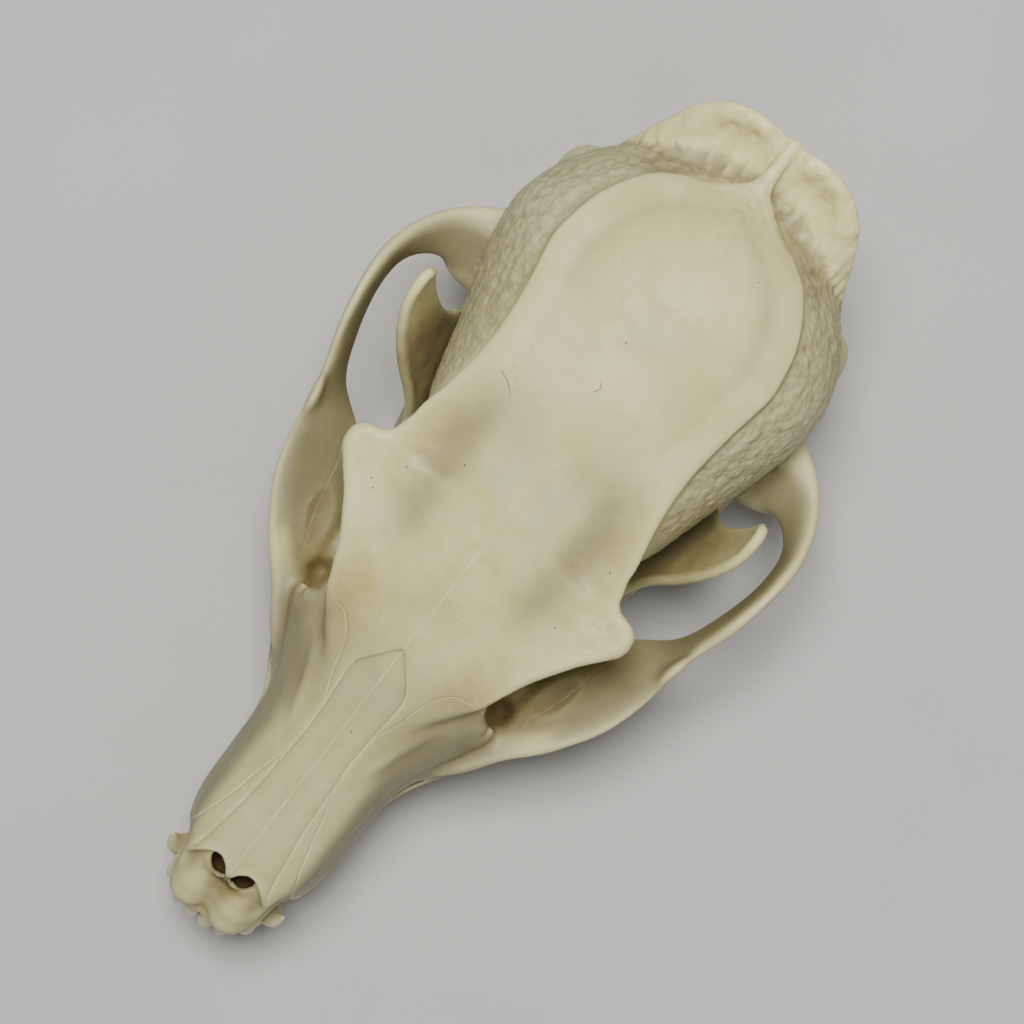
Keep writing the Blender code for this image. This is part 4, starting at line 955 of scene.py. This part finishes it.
def cranium(collection):
    """The whole upper skull without its teeth, as one fine skin."""
    pieces = [form(collection) for form in (snout, molar_floor, table, case, skull_base)]
    pieces.append(ball("supraoccipital", *SUPRAOCCIPITAL, collection))
    for side in (1.0, -1.0):
        pieces.append(blade("crest", CREST, collection, 60, side))
        pieces.append(blade("arch", ARCH, collection, 140, side))
        pieces.append(ball("jugal_process", *JUGAL_PROCESS, collection, side, JUGAL_PROCESS_TURN))
        pieces.append(blade("pterygoid", PTERYGOID, collection, 40, side))
        pieces.append(blade("paroccipital", PAROCCIPITAL, collection, 30, side))
        for middle, radii in (OCCIPITAL_CONDYLE, MASTOID, GLENOID, POSTGLENOID, *PREMAXILLA):
            pieces.append(ball("ball", middle, radii, collection, side))
        pieces.append(ball("bulla", *BULLA, collection, side, BULLA_TURN))
    whole = fuse("cranium", pieces, VOXEL * 1.2, 4, collection)
    hollows = [ball("foramen_magnum", *FORAMEN_MAGNUM, collection)]
    for side in (1.0, -1.0):
        for middle, radii in (EAR_OPENING, ORBIT_PIT, INFRAORBITAL, NASAL_PASSAGE, *SMALL_HOLES, JAW_SOCKET):
            hollows.append(ball("hollow", middle, radii, collection, side))
        for (middle, radii), turn in TURNED_HOLLOWS:
            hollows.append(ball("turned", middle, radii, collection, side, turn))
    hollowed(whole, hollows)
    return fuse("cranium", [whole], VOXEL, 3, collection)


def soften_cranium(skin):
    """Rounds off the seams between the forms that were fused."""
    p = skin.points
    socket = area(p, SOCKET_AREA)
    roots = np.maximum(area(p, ARCH_ROOT_AREA), area(p, TUBERCLE_AREA))
    ends = np.maximum(0.8 * area(p, NOSE_AREA), 0.7 * area(p, NAPE_AREA))
    bowls = area(p, BOWLS_AREA) * ramp(0.1, 0.5, skin.normals[:, 2])
    eaves = np.maximum(area(p, EAVES_AREA), bowls)
    for weight, (quick, fine) in zip((socket, roots, ends, eaves), SOFTENING_ROUNDS):
        skin.even(weight, fine)
    skin.refresh()


def cranium_zones(skin):
    """Where the parts of the skull lie, from 0 to 1, and the distance of each point from the ridge."""
    a, y, z = skin.half()
    ridge = from_line(a, y, RIDGE_LINE)
    edge_z = by_y(y, TABLE_EDGE_Z)
    upper = ramp(edge_z - 3.6, edge_z - 1.2, z)
    on_case = ramp(1.6, 0.6, a - by_y(y, CASE_HALF, left=0.0, right=0.0))
    on_case *= ramp(4.0, 9.0, y) * ramp(22.0, 26.0, z)
    trough = stripe(a, by_y(y, TROUGH_LINE), TROUGH_WIDTH) * upper
    trough *= ramp(-9.0, -1.0, y) * ramp(20.0, 8.0, y) * ramp(40.0, 41.0, z)
    return {
        "ridge": ridge,
        "upper": upper,
        "case": on_case,
        "temple": on_case * ramp(0.2, 0.9, ridge),
        "crest": ramp(50.5, 54.0, y + 0.25 * a) * ramp(34.0, 38.0, z),
        "snout": ramp(-12.0, -16.0, y) * ramp(26.0, 28.5, z),
        "trough": trough,
    }


def roof_relief(skin, zones):
    """The ridges and troughs of the roof, the knobs of the brow and the grain where the ridges meet."""
    p = skin.points
    y = p[:, 1]
    ridge, upper = zones["ridge"], zones["upper"]
    rise = 0.6 * ramp(-4.2, -1.1, ridge) * ramp(9.0, 24.0, y) * ramp(50.0, 46.0, y)
    rise -= 0.66 * ramp(-0.3, 0.4, ridge) * np.exp(-np.clip(ridge, 0.0, 9.0) / 2.2) * ramp(6.0, 14.0, y)
    rim = 0.16 * stripe(ridge, -0.8, 0.9) * ramp(-14.0, -9.0, y) * ramp(9.0, 4.0, y)
    knobs = 0.3 * bump(p, *KNOB) + 0.16 * pebbles(p, 0.8, 23) * bump(p, *KNOB_GRAIN)
    junction = 0.3 * pebbles(p, 0.9, 17) * bump(p, *JUNCTION)
    brow = -0.35 * bump(p, *BROW_DIP)
    return (rise + rim) * upper - TROUGH_DEPTH * zones["trough"] + knobs + junction + brow


def rear_relief(skin, zones):
    """The rough temples, the ribbed lobes of the nuchal crest and the spine between them."""
    p = skin.points
    a, y, z = skin.half()
    rough = 0.55 * pebbles(p, 1.6, 3) + 0.34 * pebbles(p, 0.85, 5) - 0.44
    rough *= 0.46 * zones["temple"] * (0.45 + 0.55 * ramp(8.0, 30.0, y))
    drawn = p * np.array((1.0, 0.45, 0.45))
    lobes = 0.18 * noise(p, 2.6, 11) + 0.26 * noise(drawn, 0.9, 12) + 0.22 * pebbles(drawn, 0.8, 13)
    lobes *= 0.9 * zones["crest"] * ramp(0.8, 2.2, a) * ramp(0.0, 0.5, skin.normals[:, 2])
    lobes *= ramp(60.0, 58.6, y)
    spine = 0.35 * stripe(a, 0.0, 1.0) * ramp(51.0, 53.5, y) * ramp(38.0, 41.0, z) * ramp(60.0, 57.0, y)
    return rough + lobes + spine


def snout_relief(skin, zones):
    """The step over the nostrils, the nasal plates, and the dips and folds of the cheek."""
    a, y, z = skin.half()
    front = from_line(a, y, NASAL_FRONT_LINE)
    step = -0.7 * ramp(-0.15, 0.3, front) * np.exp(-np.clip(front, 0.0, 9.0) / 2.2)
    step *= ramp(24.5, 26.5, z) * ramp(6.4, 5.4, a) * ramp(-58.0, -56.0, y) * ramp(-46.0, -48.0, y)
    plates = 0.2 * ramp(0.3, -0.1, from_line(a, y, NASAL_LINE))
    groove = -0.1 * stripe(a, 0.0, 1.4) * ramp(-18.0, -26.0, y)
    fold = from_line(a, y, FOLD_LINE)
    folds = -0.16 * stripe(fold, 0.0, 0.8) + 0.12 * stripe(fold, -1.3, 0.8)
    folds *= ramp(-33.0, -29.0, y) * ramp(-20.0, -24.0, y) * ramp(24.0, 27.0, z)
    return step + (plates + groove) * zones["snout"] + folds - 0.6 * bump(skin.points, *CHEEK_DIP)


def keep_sutures(skin, on_snout):
    """The distance from each suture, and where that suture shows."""
    a, y, z = skin.half()
    for name, line, zone in (
        ("nasal", NASAL_LINE, on_snout),
        ("premaxilla", PREMAXILLA_LINE, ramp(-31.0, -34.0, y) * ramp(19.0, 21.0, z)),
        ("frontal", FRONTAL_LINE, ramp(28.0, 31.0, z) * ramp(3.4, 3.9, a)),
        ("jugal", JUGAL_LINE, ramp(30.5, 29.0, z) * ramp(-15.5, -13.5, y)),
    ):
        gap = from_line(a, y, line)
        first, last = min(q[1] for q in line), max(q[1] for q in line)
        near = ramp(1.6, 0.8, np.abs(gap)) * zone
        near *= ramp(first - 0.4, first + 0.2, y) * ramp(last + 0.4, last - 0.2, y)
        skin.keep(name, np.clip(gap, -2.0, 2.0))
        skin.keep(name + "_on", near)


def keep_opening_shade(skin):
    """Painted shade in the openings: how far inside the nose, the eye socket or the ear each point lies."""
    a, y, z = skin.half()
    floor = ramp(19.0, 20.2, z)
    front = np.maximum(ramp(-52.8, -52.0, y), ramp(-54.6, -53.6, y) * ramp(25.6, 24.6, z))
    passage = ramp(28.6, 27.4, z) * floor * ramp(3.6, 3.0, a) * front * ramp(-30.0, -36.0, y)
    (mouth_x, mouth_y, _), (long, wide, _) = NASAL_MOUTH
    cos, sin = math.cos(NASAL_MOUTH_TURN), math.sin(NASAL_MOUTH_TURN)
    along = ((a - mouth_x) * cos + (y - mouth_y) * sin) / long
    across = ((y - mouth_y) * cos - (a - mouth_x) * sin) / wide
    lip = 28.7 + 0.9 * np.clip(y + 52.0, -1.0, 1.6)
    mouth = ramp(1.9, 1.4, along**2 + across**2) * ramp(0.0, -0.6, z - lip) * floor
    skin.keep("deep_shade", np.clip(np.maximum(passage, mouth) + spots(skin.points, DEEP_SHADE_SPOTS), 0.0, 1.0))


def keep_shadows(skin, zones, valley):
    """Painted shade: a grayer tone in troughs, under edges, on the arches and on the flanks of the snout."""
    a, y, z = skin.half()
    ridge, upper = zones["ridge"], zones["upper"]
    flank = ramp(6.2, 8.4, a) * ramp(-14.0, -20.0, y) * ramp(-53.0, -46.0, y) * ramp(35.0, 31.0, z)
    arches = ramp(19.5, 22.0, a) * ramp(37.0, 34.0, z) * ramp(34.0, 28.0, y)
    shade = 0.6 * zones["trough"] + 0.85 * valley + np.maximum(0.95 * arches, flank)
    shade += 0.3 * stripe(y, 14.0, 5.0) * stripe(a, 5.0, 4.0) * ramp(44.0, 48.0, z)
    shade += 0.3 * stripe(ridge, -3.9, 1.5) * upper * ramp(26.0, 36.0, y)
    shade += 0.6 * ramp(0.05, 0.6, ridge) * ramp(1.6, 0.8, ridge) * upper * ramp(8.0, 14.0, y)
    skin.keep("shade", skin.spread(np.clip(shade, 0.0, 1.0), 3))


def keep_side_shade(skin, zones, lobe_tone_and_light):
    """Painted shade: the darker tone of steep faces, and of the arches below their upper edge, with less of
    it on the lit lobes.
    """
    a, y, z = skin.half()
    outer = ramp(12.0, 15.0, a) * ramp(37.0, 34.0, z) * ramp(32.0, 26.0, y)
    steep = skin.spread(ramp(0.9, 0.3, skin.normals[:, 2]), 4) * (1.0 - 0.6 * zones["crest"])
    steep *= 0.36 + 0.64 * np.maximum(zones["snout"], 0.9 * outer)
    arch_z = by_y(y, [edge[1:] for edge, _, _, _ in ARCH])
    low = ramp(0.3, 1.6, arch_z - z) * ramp(13.5, 16.0, a) * ramp(-20.0, -15.0, y) * ramp(38.0, 30.0, y)
    skin.keep("side", np.maximum(steep, low) * (1.0 - 0.9 * lobe_tone_and_light))


def keep_hairs(skin):
    """The distance from the nearest hairline on the roof."""
    across, y, z = skin.points.T
    hair = np.full(len(y), 9.0)
    for line in HAIRLINES:
        gap = from_line(across, y, line)
        hair = np.where(np.abs(gap) < np.abs(hair), gap, hair)
    skin.keep("hair", np.clip(hair, -1.0, 1.0))
    skin.keep("hair_on", ramp(0.8, 0.4, np.abs(hair)) * ramp(38.0, 42.0, z))


def keep_wear_and_hollow_shade(skin, rounds, high=0.2, low=0.24, keep=1.0):
    """Standing edges are worn, and hollows are darkened, partly as stain and partly as painted shade."""
    hollow = skin.stands_out(rounds)
    skin.keep("worn", np.clip(hollow / high, 0.0, 1.0))
    skin.keep("sunk", np.clip(-hollow / low, 0.0, 1.0) * keep)


def dress_cranium(obj):
    skin = Skin(obj)
    soften_cranium(skin)
    zones = cranium_zones(skin)
    broad = 0.16 * noise(skin.points, 9.0, 21) + 0.06 * noise(skin.points, 4.0, 22)
    broad *= ramp(0.0, 1.0, zones["case"] + ramp(30.0, 36.0, skin.points[:, 2]))
    skin.push(roof_relief(skin, zones) + rear_relief(skin, zones) + snout_relief(skin, zones) + broad)
    skin.push(0.025 * noise(skin.points, 0.8, 31) * (0.3 + zones["temple"] + zones["crest"]))

    p = skin.points
    a, y, z = skin.half()
    up, ridge, upper = skin.normals[:, 2], zones["ridge"], zones["upper"]
    turned = y + 0.55 * np.clip(a - 6.0, 0.0, 9.0)
    # Yellow tone and painted light on the up-facing faces of the crest lobes
    lobe_tone_and_light = zones["crest"] * ramp(53.6, 55.0, turned) * ramp(0.2, 0.6, up)
    valley = stripe(turned, 51.2, 1.7) * ramp(0.1, 0.6, ridge) * ramp(1.2, 2.6, a) * ramp(15.0, 12.0, a)
    valley *= ramp(36.0, 39.0, z) * ramp(0.05, 0.35, up)
    under = 0.5 * ramp(19.6, 18.2, z) * ramp(-4.0, -8.0, y)
    keep_wear_and_hollow_shade(skin, 36, keep=1.0 - 0.85 * lobe_tone_and_light)
    skin.keep("temple", skin.spread(zones["temple"], 4))
    skin.keep("crest", skin.spread(zones["crest"], 4))
    skin.keep("lobe_tone_and_light", skin.spread(lobe_tone_and_light, 3))
    skin.keep("ridge", np.clip(ridge, -4.0, 4.0) * upper + 4.0 * (1.0 - upper))
    # Partly stain, partly painted shade: pits, openings, the valley before the crest and below the tooth row
    skin.keep("brown_stain_and_shade", np.clip(spots(p, BROWN_STAIN_AND_SHADE_SPOTS) + 0.3 * valley + under, 0.0, 1.0))
    # Painted shade over the snout
    skin.keep("snout_shade", ramp(-9.0, -24.0, y) * ramp(-60.0, -50.0, y - 3.0 * (z < 22.0)))
    skin.keep("thin", area(p, THIN_SPOTS))
    skin.keep("yellow", area(p, YELLOW_SPOTS))
    keep_sutures(skin, zones["snout"])
    keep_opening_shade(skin)
    keep_shadows(skin, zones, valley)
    keep_side_shade(skin, zones, lobe_tone_and_light)
    keep_hairs(skin)
    skin.finish()


def jaw(name, side, collection):
    """One half of the lower jaw."""
    pieces = [
        blade("body", JAW, collection, 140, side),
        blade("coronoid", CORONOID, collection, 80, side),
        blade("angular", ANGULAR, collection, 40, side),
        ball("condyle", CONDYLE, (5.0, CONDYLE_RADIUS, CONDYLE_RADIUS), collection, side),
        tube("front_rim", CORONOID_RIM, CORONOID_RIM_RADIUS, collection, side),
    ]
    half = fuse(name, pieces, VOXEL * 1.1, 3, collection)
    hollowed(half, [ball("hole", *hole, collection, side) for hole in JAW_HOLES])
    return fuse(name, [half], VOXEL, 3, collection)


def dress_jaw(obj, side):
    skin = Skin(obj)
    p = skin.points * np.array((side, 1.0, 1.0))
    a, y, z = p.T
    outer = ramp(0.2, 0.7, skin.normals[:, 0] * side)
    relief = -0.75 * outer * stripe(y, 14.0, 5.6) * stripe(z, 17.0, 8.5)
    for root_y in ROOT_SWELLINGS_Y:
        relief += 0.22 * stripe(y, root_y, 1.7) * stripe(z, 9.6, 2.4)
    relief += 0.3 * noise(p, 1.1, 41) * ramp(-45.0, -48.0, y) * ramp(2.6, 1.6, a)
    relief += 0.14 * noise(p, 7.0, 42) + 0.05 * noise(p, 2.2, 43)
    skin.push(relief)
    skin.points[:, 2] = np.maximum(skin.points[:, 2], 0.0)
    skin.points[:, 0] = side * np.maximum(skin.points[:, 0] * side, 0.5 * GAP)
    skin.refresh()

    p = skin.points
    a, y, z = skin.half()
    keep_wear_and_hollow_shade(skin, 30)
    # Partly stain, partly painted shade: the upper coronoid and along the tooth row
    brown_stain_and_shade = 0.6 * ramp(27.0, 36.0, z) * ramp(24.5, 21.0, a) + 0.5 * ramp(10.6, 12.2, z) * ramp(-2.0, -6.0, y)
    skin.keep("brown_stain_and_shade", np.clip(brown_stain_and_shade + spots(p, JAW_BROWN_STAIN_AND_SHADE_SPOTS), 0.0, 1.0))
    skin.keep("yellow", np.clip(0.5 + 0.5 * noise(p, 12.0, 44), 0.0, 1.0) * 0.6)
    # Painted shade: steep faces of the jaw get a darker tone
    skin.keep("side", skin.spread(ramp(0.92, 0.3, skin.normals[:, 2]), 4))
    skin.finish()


def dress_teeth(obj):
    skin = Skin(obj)
    skin.push(0.02 * noise(skin.points, 1.4, 51))
    keep_wear_and_hollow_shade(skin, 14, 0.1, 0.08)
    skin.finish()


class Nodes:
    """Short names for the nodes of one material. Sizes are in millimetres."""

    def __init__(self, name):
        self.material = bpy.data.materials.new(name)
        self.material.use_nodes = True
        self.tree = self.material.node_tree
        self.shader = self.tree.nodes["Principled BSDF"]
        self.place = self.tree.nodes.new("ShaderNodeTexCoord").outputs["Object"]

    def link(self, value, socket):
        if isinstance(value, bpy.types.NodeSocket):
            self.tree.links.new(value, socket)
        elif isinstance(value, tuple) and len(value) == 3 and socket.type == "RGBA":
            socket.default_value = (*value, 1.0)
        else:
            socket.default_value = value

    def math(self, operation, *values):
        node = self.tree.nodes.new("ShaderNodeMath")
        node.operation = operation
        for value, socket in zip(values, node.inputs):
            self.link(value, socket)
        return node.outputs[0]

    def joined(self, operation, values):
        made = values[0]
        for value in values[1:]:
            made = self.math(operation, made, value)
        return made

    def product(self, *values):
        return self.joined("MULTIPLY", values)

    def total(self, *values):
        return self.joined("ADD", values)

    def value(self, name):
        node = self.tree.nodes.new("ShaderNodeAttribute")
        node.attribute_name = name
        return node.outputs["Fac"]

    def axes(self):
        """The place on the skull in millimetres, as x, y and z."""
        split = self.tree.nodes.new("ShaderNodeSeparateXYZ")
        self.link(self.place, split.inputs[0])
        return [self.product(output, 1.0 / MM) for output in split.outputs]

    def noise(self, size, detail=3.0, rough=0.55, stretch=None):
        node = self.tree.nodes.new("ShaderNodeTexNoise")
        node.inputs["Scale"].default_value = 1000.0 / size
        node.inputs["Detail"].default_value = detail
        node.inputs["Roughness"].default_value = rough
        self.link(self.stretched(stretch) if stretch else self.place, node.inputs["Vector"])
        return node.outputs["Fac"]

    def stretched(self, factors):
        node = self.tree.nodes.new("ShaderNodeMapping")
        node.inputs["Scale"].default_value = factors
        self.link(self.place, node.inputs["Vector"])
        return node.outputs[0]

    def cells(self, size):
        """The distance from the middles of small cells."""
        node = self.tree.nodes.new("ShaderNodeTexVoronoi")
        node.inputs["Scale"].default_value = 1000.0 / size
        self.link(self.place, node.inputs["Vector"])
        return node.outputs["Distance"]

    def between(self, value, low, high, to_low=0.0, to_high=1.0):
        node = self.tree.nodes.new("ShaderNodeMapRange")
        node.interpolation_type = "SMOOTHSTEP"
        self.link(value, node.inputs["Value"])
        for number, key in zip((low, high, to_low, to_high), ("From Min", "From Max", "To Min", "To Max")):
            node.inputs[key].default_value = number
        return node.outputs[0]

    def mix(self, share, first, second):
        node = self.tree.nodes.new("ShaderNodeMix")
        node.data_type = "RGBA"
        self.link(share, node.inputs[0])
        self.link(first, node.inputs[6])
        self.link(second, node.inputs[7])
        return node.outputs[2]

    def stain(self, colour, name, tint, cloud, *limits):
        """The colour with a tint where the named value is, as strong as the cloud makes it."""
        return self.mix(self.product(self.value(name), self.between(cloud, *limits)), colour, tint)

    def line(self, gap, half, waver):
        """1 on a wavering line where gap is 0, and 0 further from it than half."""
        moved = self.math("ABSOLUTE", self.math("ADD", gap, waver))
        return self.between(moved, half, 0.25 * half)

    def surface(self, colour, roughness, look, height, strength, distance):
        """Gives the shader its colour, roughness, other values by name, and a fine relief."""
        bump_node = self.tree.nodes.new("ShaderNodeBump")
        bump_node.inputs["Strength"].default_value = strength
        bump_node.inputs["Distance"].default_value = distance
        self.link(height, bump_node.inputs["Height"])
        self.link(bump_node.outputs[0], self.shader.inputs["Normal"])
        self.link(colour, self.shader.inputs["Base Color"])
        self.link(roughness, self.shader.inputs["Roughness"])
        for key, value in look.items():
            self.shader.inputs[key].default_value = value


def suture_marks(n, waver):
    """The light lines of the sutures, and the dark ones beside them."""
    x, y, z = n.axes()
    wander = n.total(waver, n.between(n.noise(2.4, 2.0, 0.6), 0.0, 1.0, -0.14, 0.14))
    broken = n.between(n.noise(3.0, 2.0, 0.6), 0.4, 0.6, 0.35, 1.0)
    middle = n.line(x, 0.18, n.product(wander, n.between(y, -24.0, -14.0, 0.35, 1.2)))
    lines = [n.product(middle, n.between(y, 14.0, 4.0), n.between(z, 27.0, 29.0))]
    darks = []
    for name, (half, strength) in SUTURE_LOOKS.items():
        gap, near = n.value(name), n.value(name + "_on")
        lines.append(n.product(n.line(gap, half, wander), near, strength))
        darks.append(n.product(n.line(gap, 0.22, n.total(wander, -0.2)), near))
    return n.product(n.joined("MAXIMUM", lines), broken), n.joined("MAXIMUM", darks)


def roof_marks(n, waver):
    """The hairlines and pinholes."""
    hair = n.product(n.line(n.value("hair"), 0.11, n.product(waver, 0.5)), n.value("hair_on"), 0.8)
    flat = n.stretched((1.0, 1.0, 0.0))
    gaps = []
    for x, y in PINHOLES:
        node = n.tree.nodes.new("ShaderNodeVectorMath")
        node.operation = "DISTANCE"
        n.link(flat, node.inputs[0])
        node.inputs[1].default_value = (x * MM, y * MM, 0.0)
        gaps.append(node.outputs["Value"])
    pins = n.between(n.joined("MINIMUM", gaps), *PINHOLE_RADII)
    return n.math("MAXIMUM", hair, n.product(pins, n.between(n.axes()[2], 33.0, 35.0)))


def bone_material(name, skull):
    n = Nodes(name)
    clouds, mottle, grain = n.noise(13.0, 4.0, 0.6), n.noise(2.6, 4.0, 0.6), n.noise(0.55, 3.0, 0.6)
    streaks = n.noise(0.9, 3.0, 0.6, (1.0, 0.16, 0.6))
    colour = n.mix(n.between(clouds, 0.36, 0.66), IVORY, PALE)
    colour = n.stain(colour, "yellow", WARM, mottle, 0.3, 0.7, 0.35, 0.9)
    colour = n.mix(n.between(mottle, 0.5, 0.74, 0.0, 0.22), colour, WARM)
    temple = n.value("temple") if skull else n.between(clouds, 0.4, 0.7, 0.0, 0.3)
    if skull:
        colour = n.stain(colour, "temple", TEMPLE, n.noise(1.6, 4.0, 0.6), 0.3, 0.7, 0.35, 0.75)
        colour = n.stain(colour, "crest", TEMPLE, n.noise(1.4, 4.0, 0.65), 0.46, 0.68, 0.1, 0.7)
        colour = n.stain(colour, "thin", BLUISH, n.noise(5.5), 0.42, 0.58, 0.0, 0.5)
        ridge = n.value("ridge")
        # Pale bone along the ridge rim, partly painted highlight
        rim_tone_and_highlight = n.product(n.between(ridge, -1.9, -0.9), n.between(ridge, 0.25, -0.05))
        colour = n.mix(n.product(rim_tone_and_highlight, 0.45), colour, PALE)
        # Painted shade over the snout
        colour = n.mix(n.product(n.value("snout_shade"), 0.56), colour, SNOUT_SHADE)
        # Painted shade in troughs, under edges, on the arches and on the snout's flanks
        colour = n.stain(colour, "shade", SHADE, clouds, 0.3, 0.7, 0.75, 1.0)
    # Painted shade on steep faces
    colour = n.stain(colour, "side", SIDE_SHADE, mottle, 0.25, 0.75, 0.84, 1.0)
    colour = n.mix(n.product(n.value("worn"), 0.6), colour, PALE)
    if skull:
        waver = n.between(n.noise(0.7, 2.0, 0.6), 0.0, 1.0, -0.08, 0.08)
        sutures, darks = suture_marks(n, waver)
        colour = n.mix(n.product(darks, 0.28), colour, CRACK)
        colour = n.mix(n.product(sutures, 0.62), colour, SUTURE)
    # Hollows darkened: partly stain, partly painted shade
    colour = n.stain(colour, "sunk", SUNK_STAIN_AND_SHADE, mottle, 0.3, 0.7, 0.35, 0.8)
    # Partly stain, partly painted shade in pits and hollows
    colour = n.stain(colour, "brown_stain_and_shade", BROWN_STAIN_AND_SHADE, mottle, 0.25, 0.75, 0.4, 0.85)
    if skull:
        # Yellow tone and painted light on the crest lobes
        colour = n.stain(colour, "lobe_tone_and_light", LOBE_TONE_AND_LIGHT, mottle, 0.3, 0.7, 0.65, 0.95)
        # Painted shade inside the openings
        colour = n.mix(n.value("deep_shade"), colour, DEEP_SHADE)
        marks = roof_marks(n, waver)
        colour = n.mix(n.product(marks, 0.85), colour, CRACK)
    pores = n.product(n.between(n.cells(1.9), 0.06, 0.035), n.between(n.noise(3.0, 1.0), 0.54, 0.58))
    colour = n.mix(n.product(pores, 0.8), colour, CRACK)

    roughness = n.total(n.between(mottle, 0.3, 0.7, 0.46, 0.6), n.product(temple, 0.14))
    roughness = n.total(roughness, n.product(n.value("worn"), -0.05))
    parts = [n.product(grain, 0.35), n.product(streaks, 0.3), n.product(mottle, 0.5), n.product(pores, -1.2)]
    if skull:
        coarse = n.total(n.between(n.cells(0.8), 0.0, 0.7, 0.5, -0.5), n.noise(0.6, 3.0, 0.6))
        parts += [n.product(coarse, temple, 1.1), n.product(sutures, 0.5), n.product(marks, -2.0)]
    n.surface(colour, roughness, BONE_LOOK, n.total(*parts), *BONE_RELIEF)
    return n.material


def enamel_material(name):
    n = Nodes(name)
    clouds = n.noise(2.4, 3.0, 0.6)
    colour = n.mix(n.between(clouds, 0.35, 0.7), ENAMEL, ENAMEL_WARM)
    # Crevices of the teeth darkened: partly stain, partly painted shade
    colour = n.mix(n.product(n.value("sunk"), 0.75), colour, BROWN_STAIN_AND_SHADE)
    colour = n.mix(n.product(n.value("worn"), 0.3), colour, ENAMEL_WORN)
    roughness = n.between(clouds, 0.3, 0.7, 0.2, 0.34)
    n.surface(colour, roughness, ENAMEL_LOOK, n.noise(0.5, 2.0, 0.5, (1.0, 1.0, 0.15)), *ENAMEL_RELIEF)
    return n.material


def floor_material():
    n = Nodes("floor")
    colour = n.mix(n.between(n.noise(60.0), 0.3, 0.7), FLOOR_DARK, FLOOR_LIGHT)
    n.link(colour, n.shader.inputs["Base Color"])
    n.shader.inputs["Roughness"].default_value = 0.75
    return n.material


def area_light(name, place, width, power, colour):
    data = bpy.data.lights.new(name, "AREA")
    data.shape = "DISK"
    data.size = width
    data.energy = power
    data.color = colour
    obj = bpy.data.objects.new(name, data)
    obj.location = place
    obj.rotation_mode = "QUATERNION"
    obj.rotation_quaternion = (Vector(LIGHT_TARGET) - Vector(place)).to_track_quat("-Z", "Y")
    bpy.context.scene.collection.objects.link(obj)


def set_stage():
    scene = bpy.context.scene
    bm = bmesh.new()
    bmesh.ops.create_circle(bm, cap_ends=True, segments=96, radius=FLOOR_RADIUS)
    floor = plain_object("floor", bm, scene.collection)
    floor.data.materials.append(floor_material())

    for light in LIGHTS:
        area_light(*light)
    world = bpy.data.worlds.new("studio")
    world.use_nodes = True
    background = world.node_tree.nodes["Background"]
    background.inputs["Color"].default_value = (1.0, 1.0, 1.0, 1.0)
    background.inputs["Strength"].default_value = WORLD_STRENGTH
    scene.world = world

    data = bpy.data.cameras.new("camera")
    data.sensor_width = SENSOR_MM
    data.lens = FOCAL_PIXELS / PICTURE_PIXELS * SENSOR_MM
    data.clip_start = 0.01
    camera = bpy.data.objects.new("camera", data)
    turn = Matrix.Rotation(CAMERA_TURN, 4, "Z") @ Matrix(CAMERA_AXES).transposed().to_4x4()
    camera.matrix_world = Matrix.Translation(CAMERA_PLACE) @ turn
    scene.collection.objects.link(camera)
    scene.camera = camera


def main():
    skull = new_collection("dressed_skull")
    bone_finish = bone_material("fox_bone", True)
    jaw_finish = bone_material("fox_jaw_bone", False)
    enamel = enamel_material("fox_enamel")

    whole = cranium(skull)
    dress_cranium(whole)
    whole.data.materials.append(bone_finish)
    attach(whole, "root")
    nodes = ["rostrum", "braincase", "occiput"]
    for word in ("left", "right"):
        nodes += [f"zygomatic_arch_{word}", f"auditory_bulla_{word}"]
    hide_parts(*nodes)

    crowns = []
    for side in (1.0, -1.0):
        crowns += [cusp("cusp", *row, skull, side) for row in UPPER_CUSPS]
        crowns.append(canine("canine", UPPER_CANINE, skull, side))
    upper = fuse("upper_teeth", crowns, TOOTH_VOXEL, 2, skull)
    dress_teeth(upper)
    upper.data.materials.append(enamel)
    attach(upper, "root")

    for word, side in (("left", 1.0), ("right", -1.0)):
        half = jaw(f"jaw_{word}", side, skull)
        dress_jaw(half, side)
        half.data.materials.append(jaw_finish)
        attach(half, "root")
        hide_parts(f"mandible_{word}")
        crowns = [cusp("cusp", *row, skull, side) for row in LOWER_CUSPS]
        crowns.append(canine("canine", LOWER_CANINE, skull, side))
        lower = fuse(f"lower_teeth_{word}", crowns, TOOTH_VOXEL, 2, skull)
        dress_teeth(lower)
        lower.data.materials.append(enamel)
        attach(lower, "root")
    set_stage()


main()
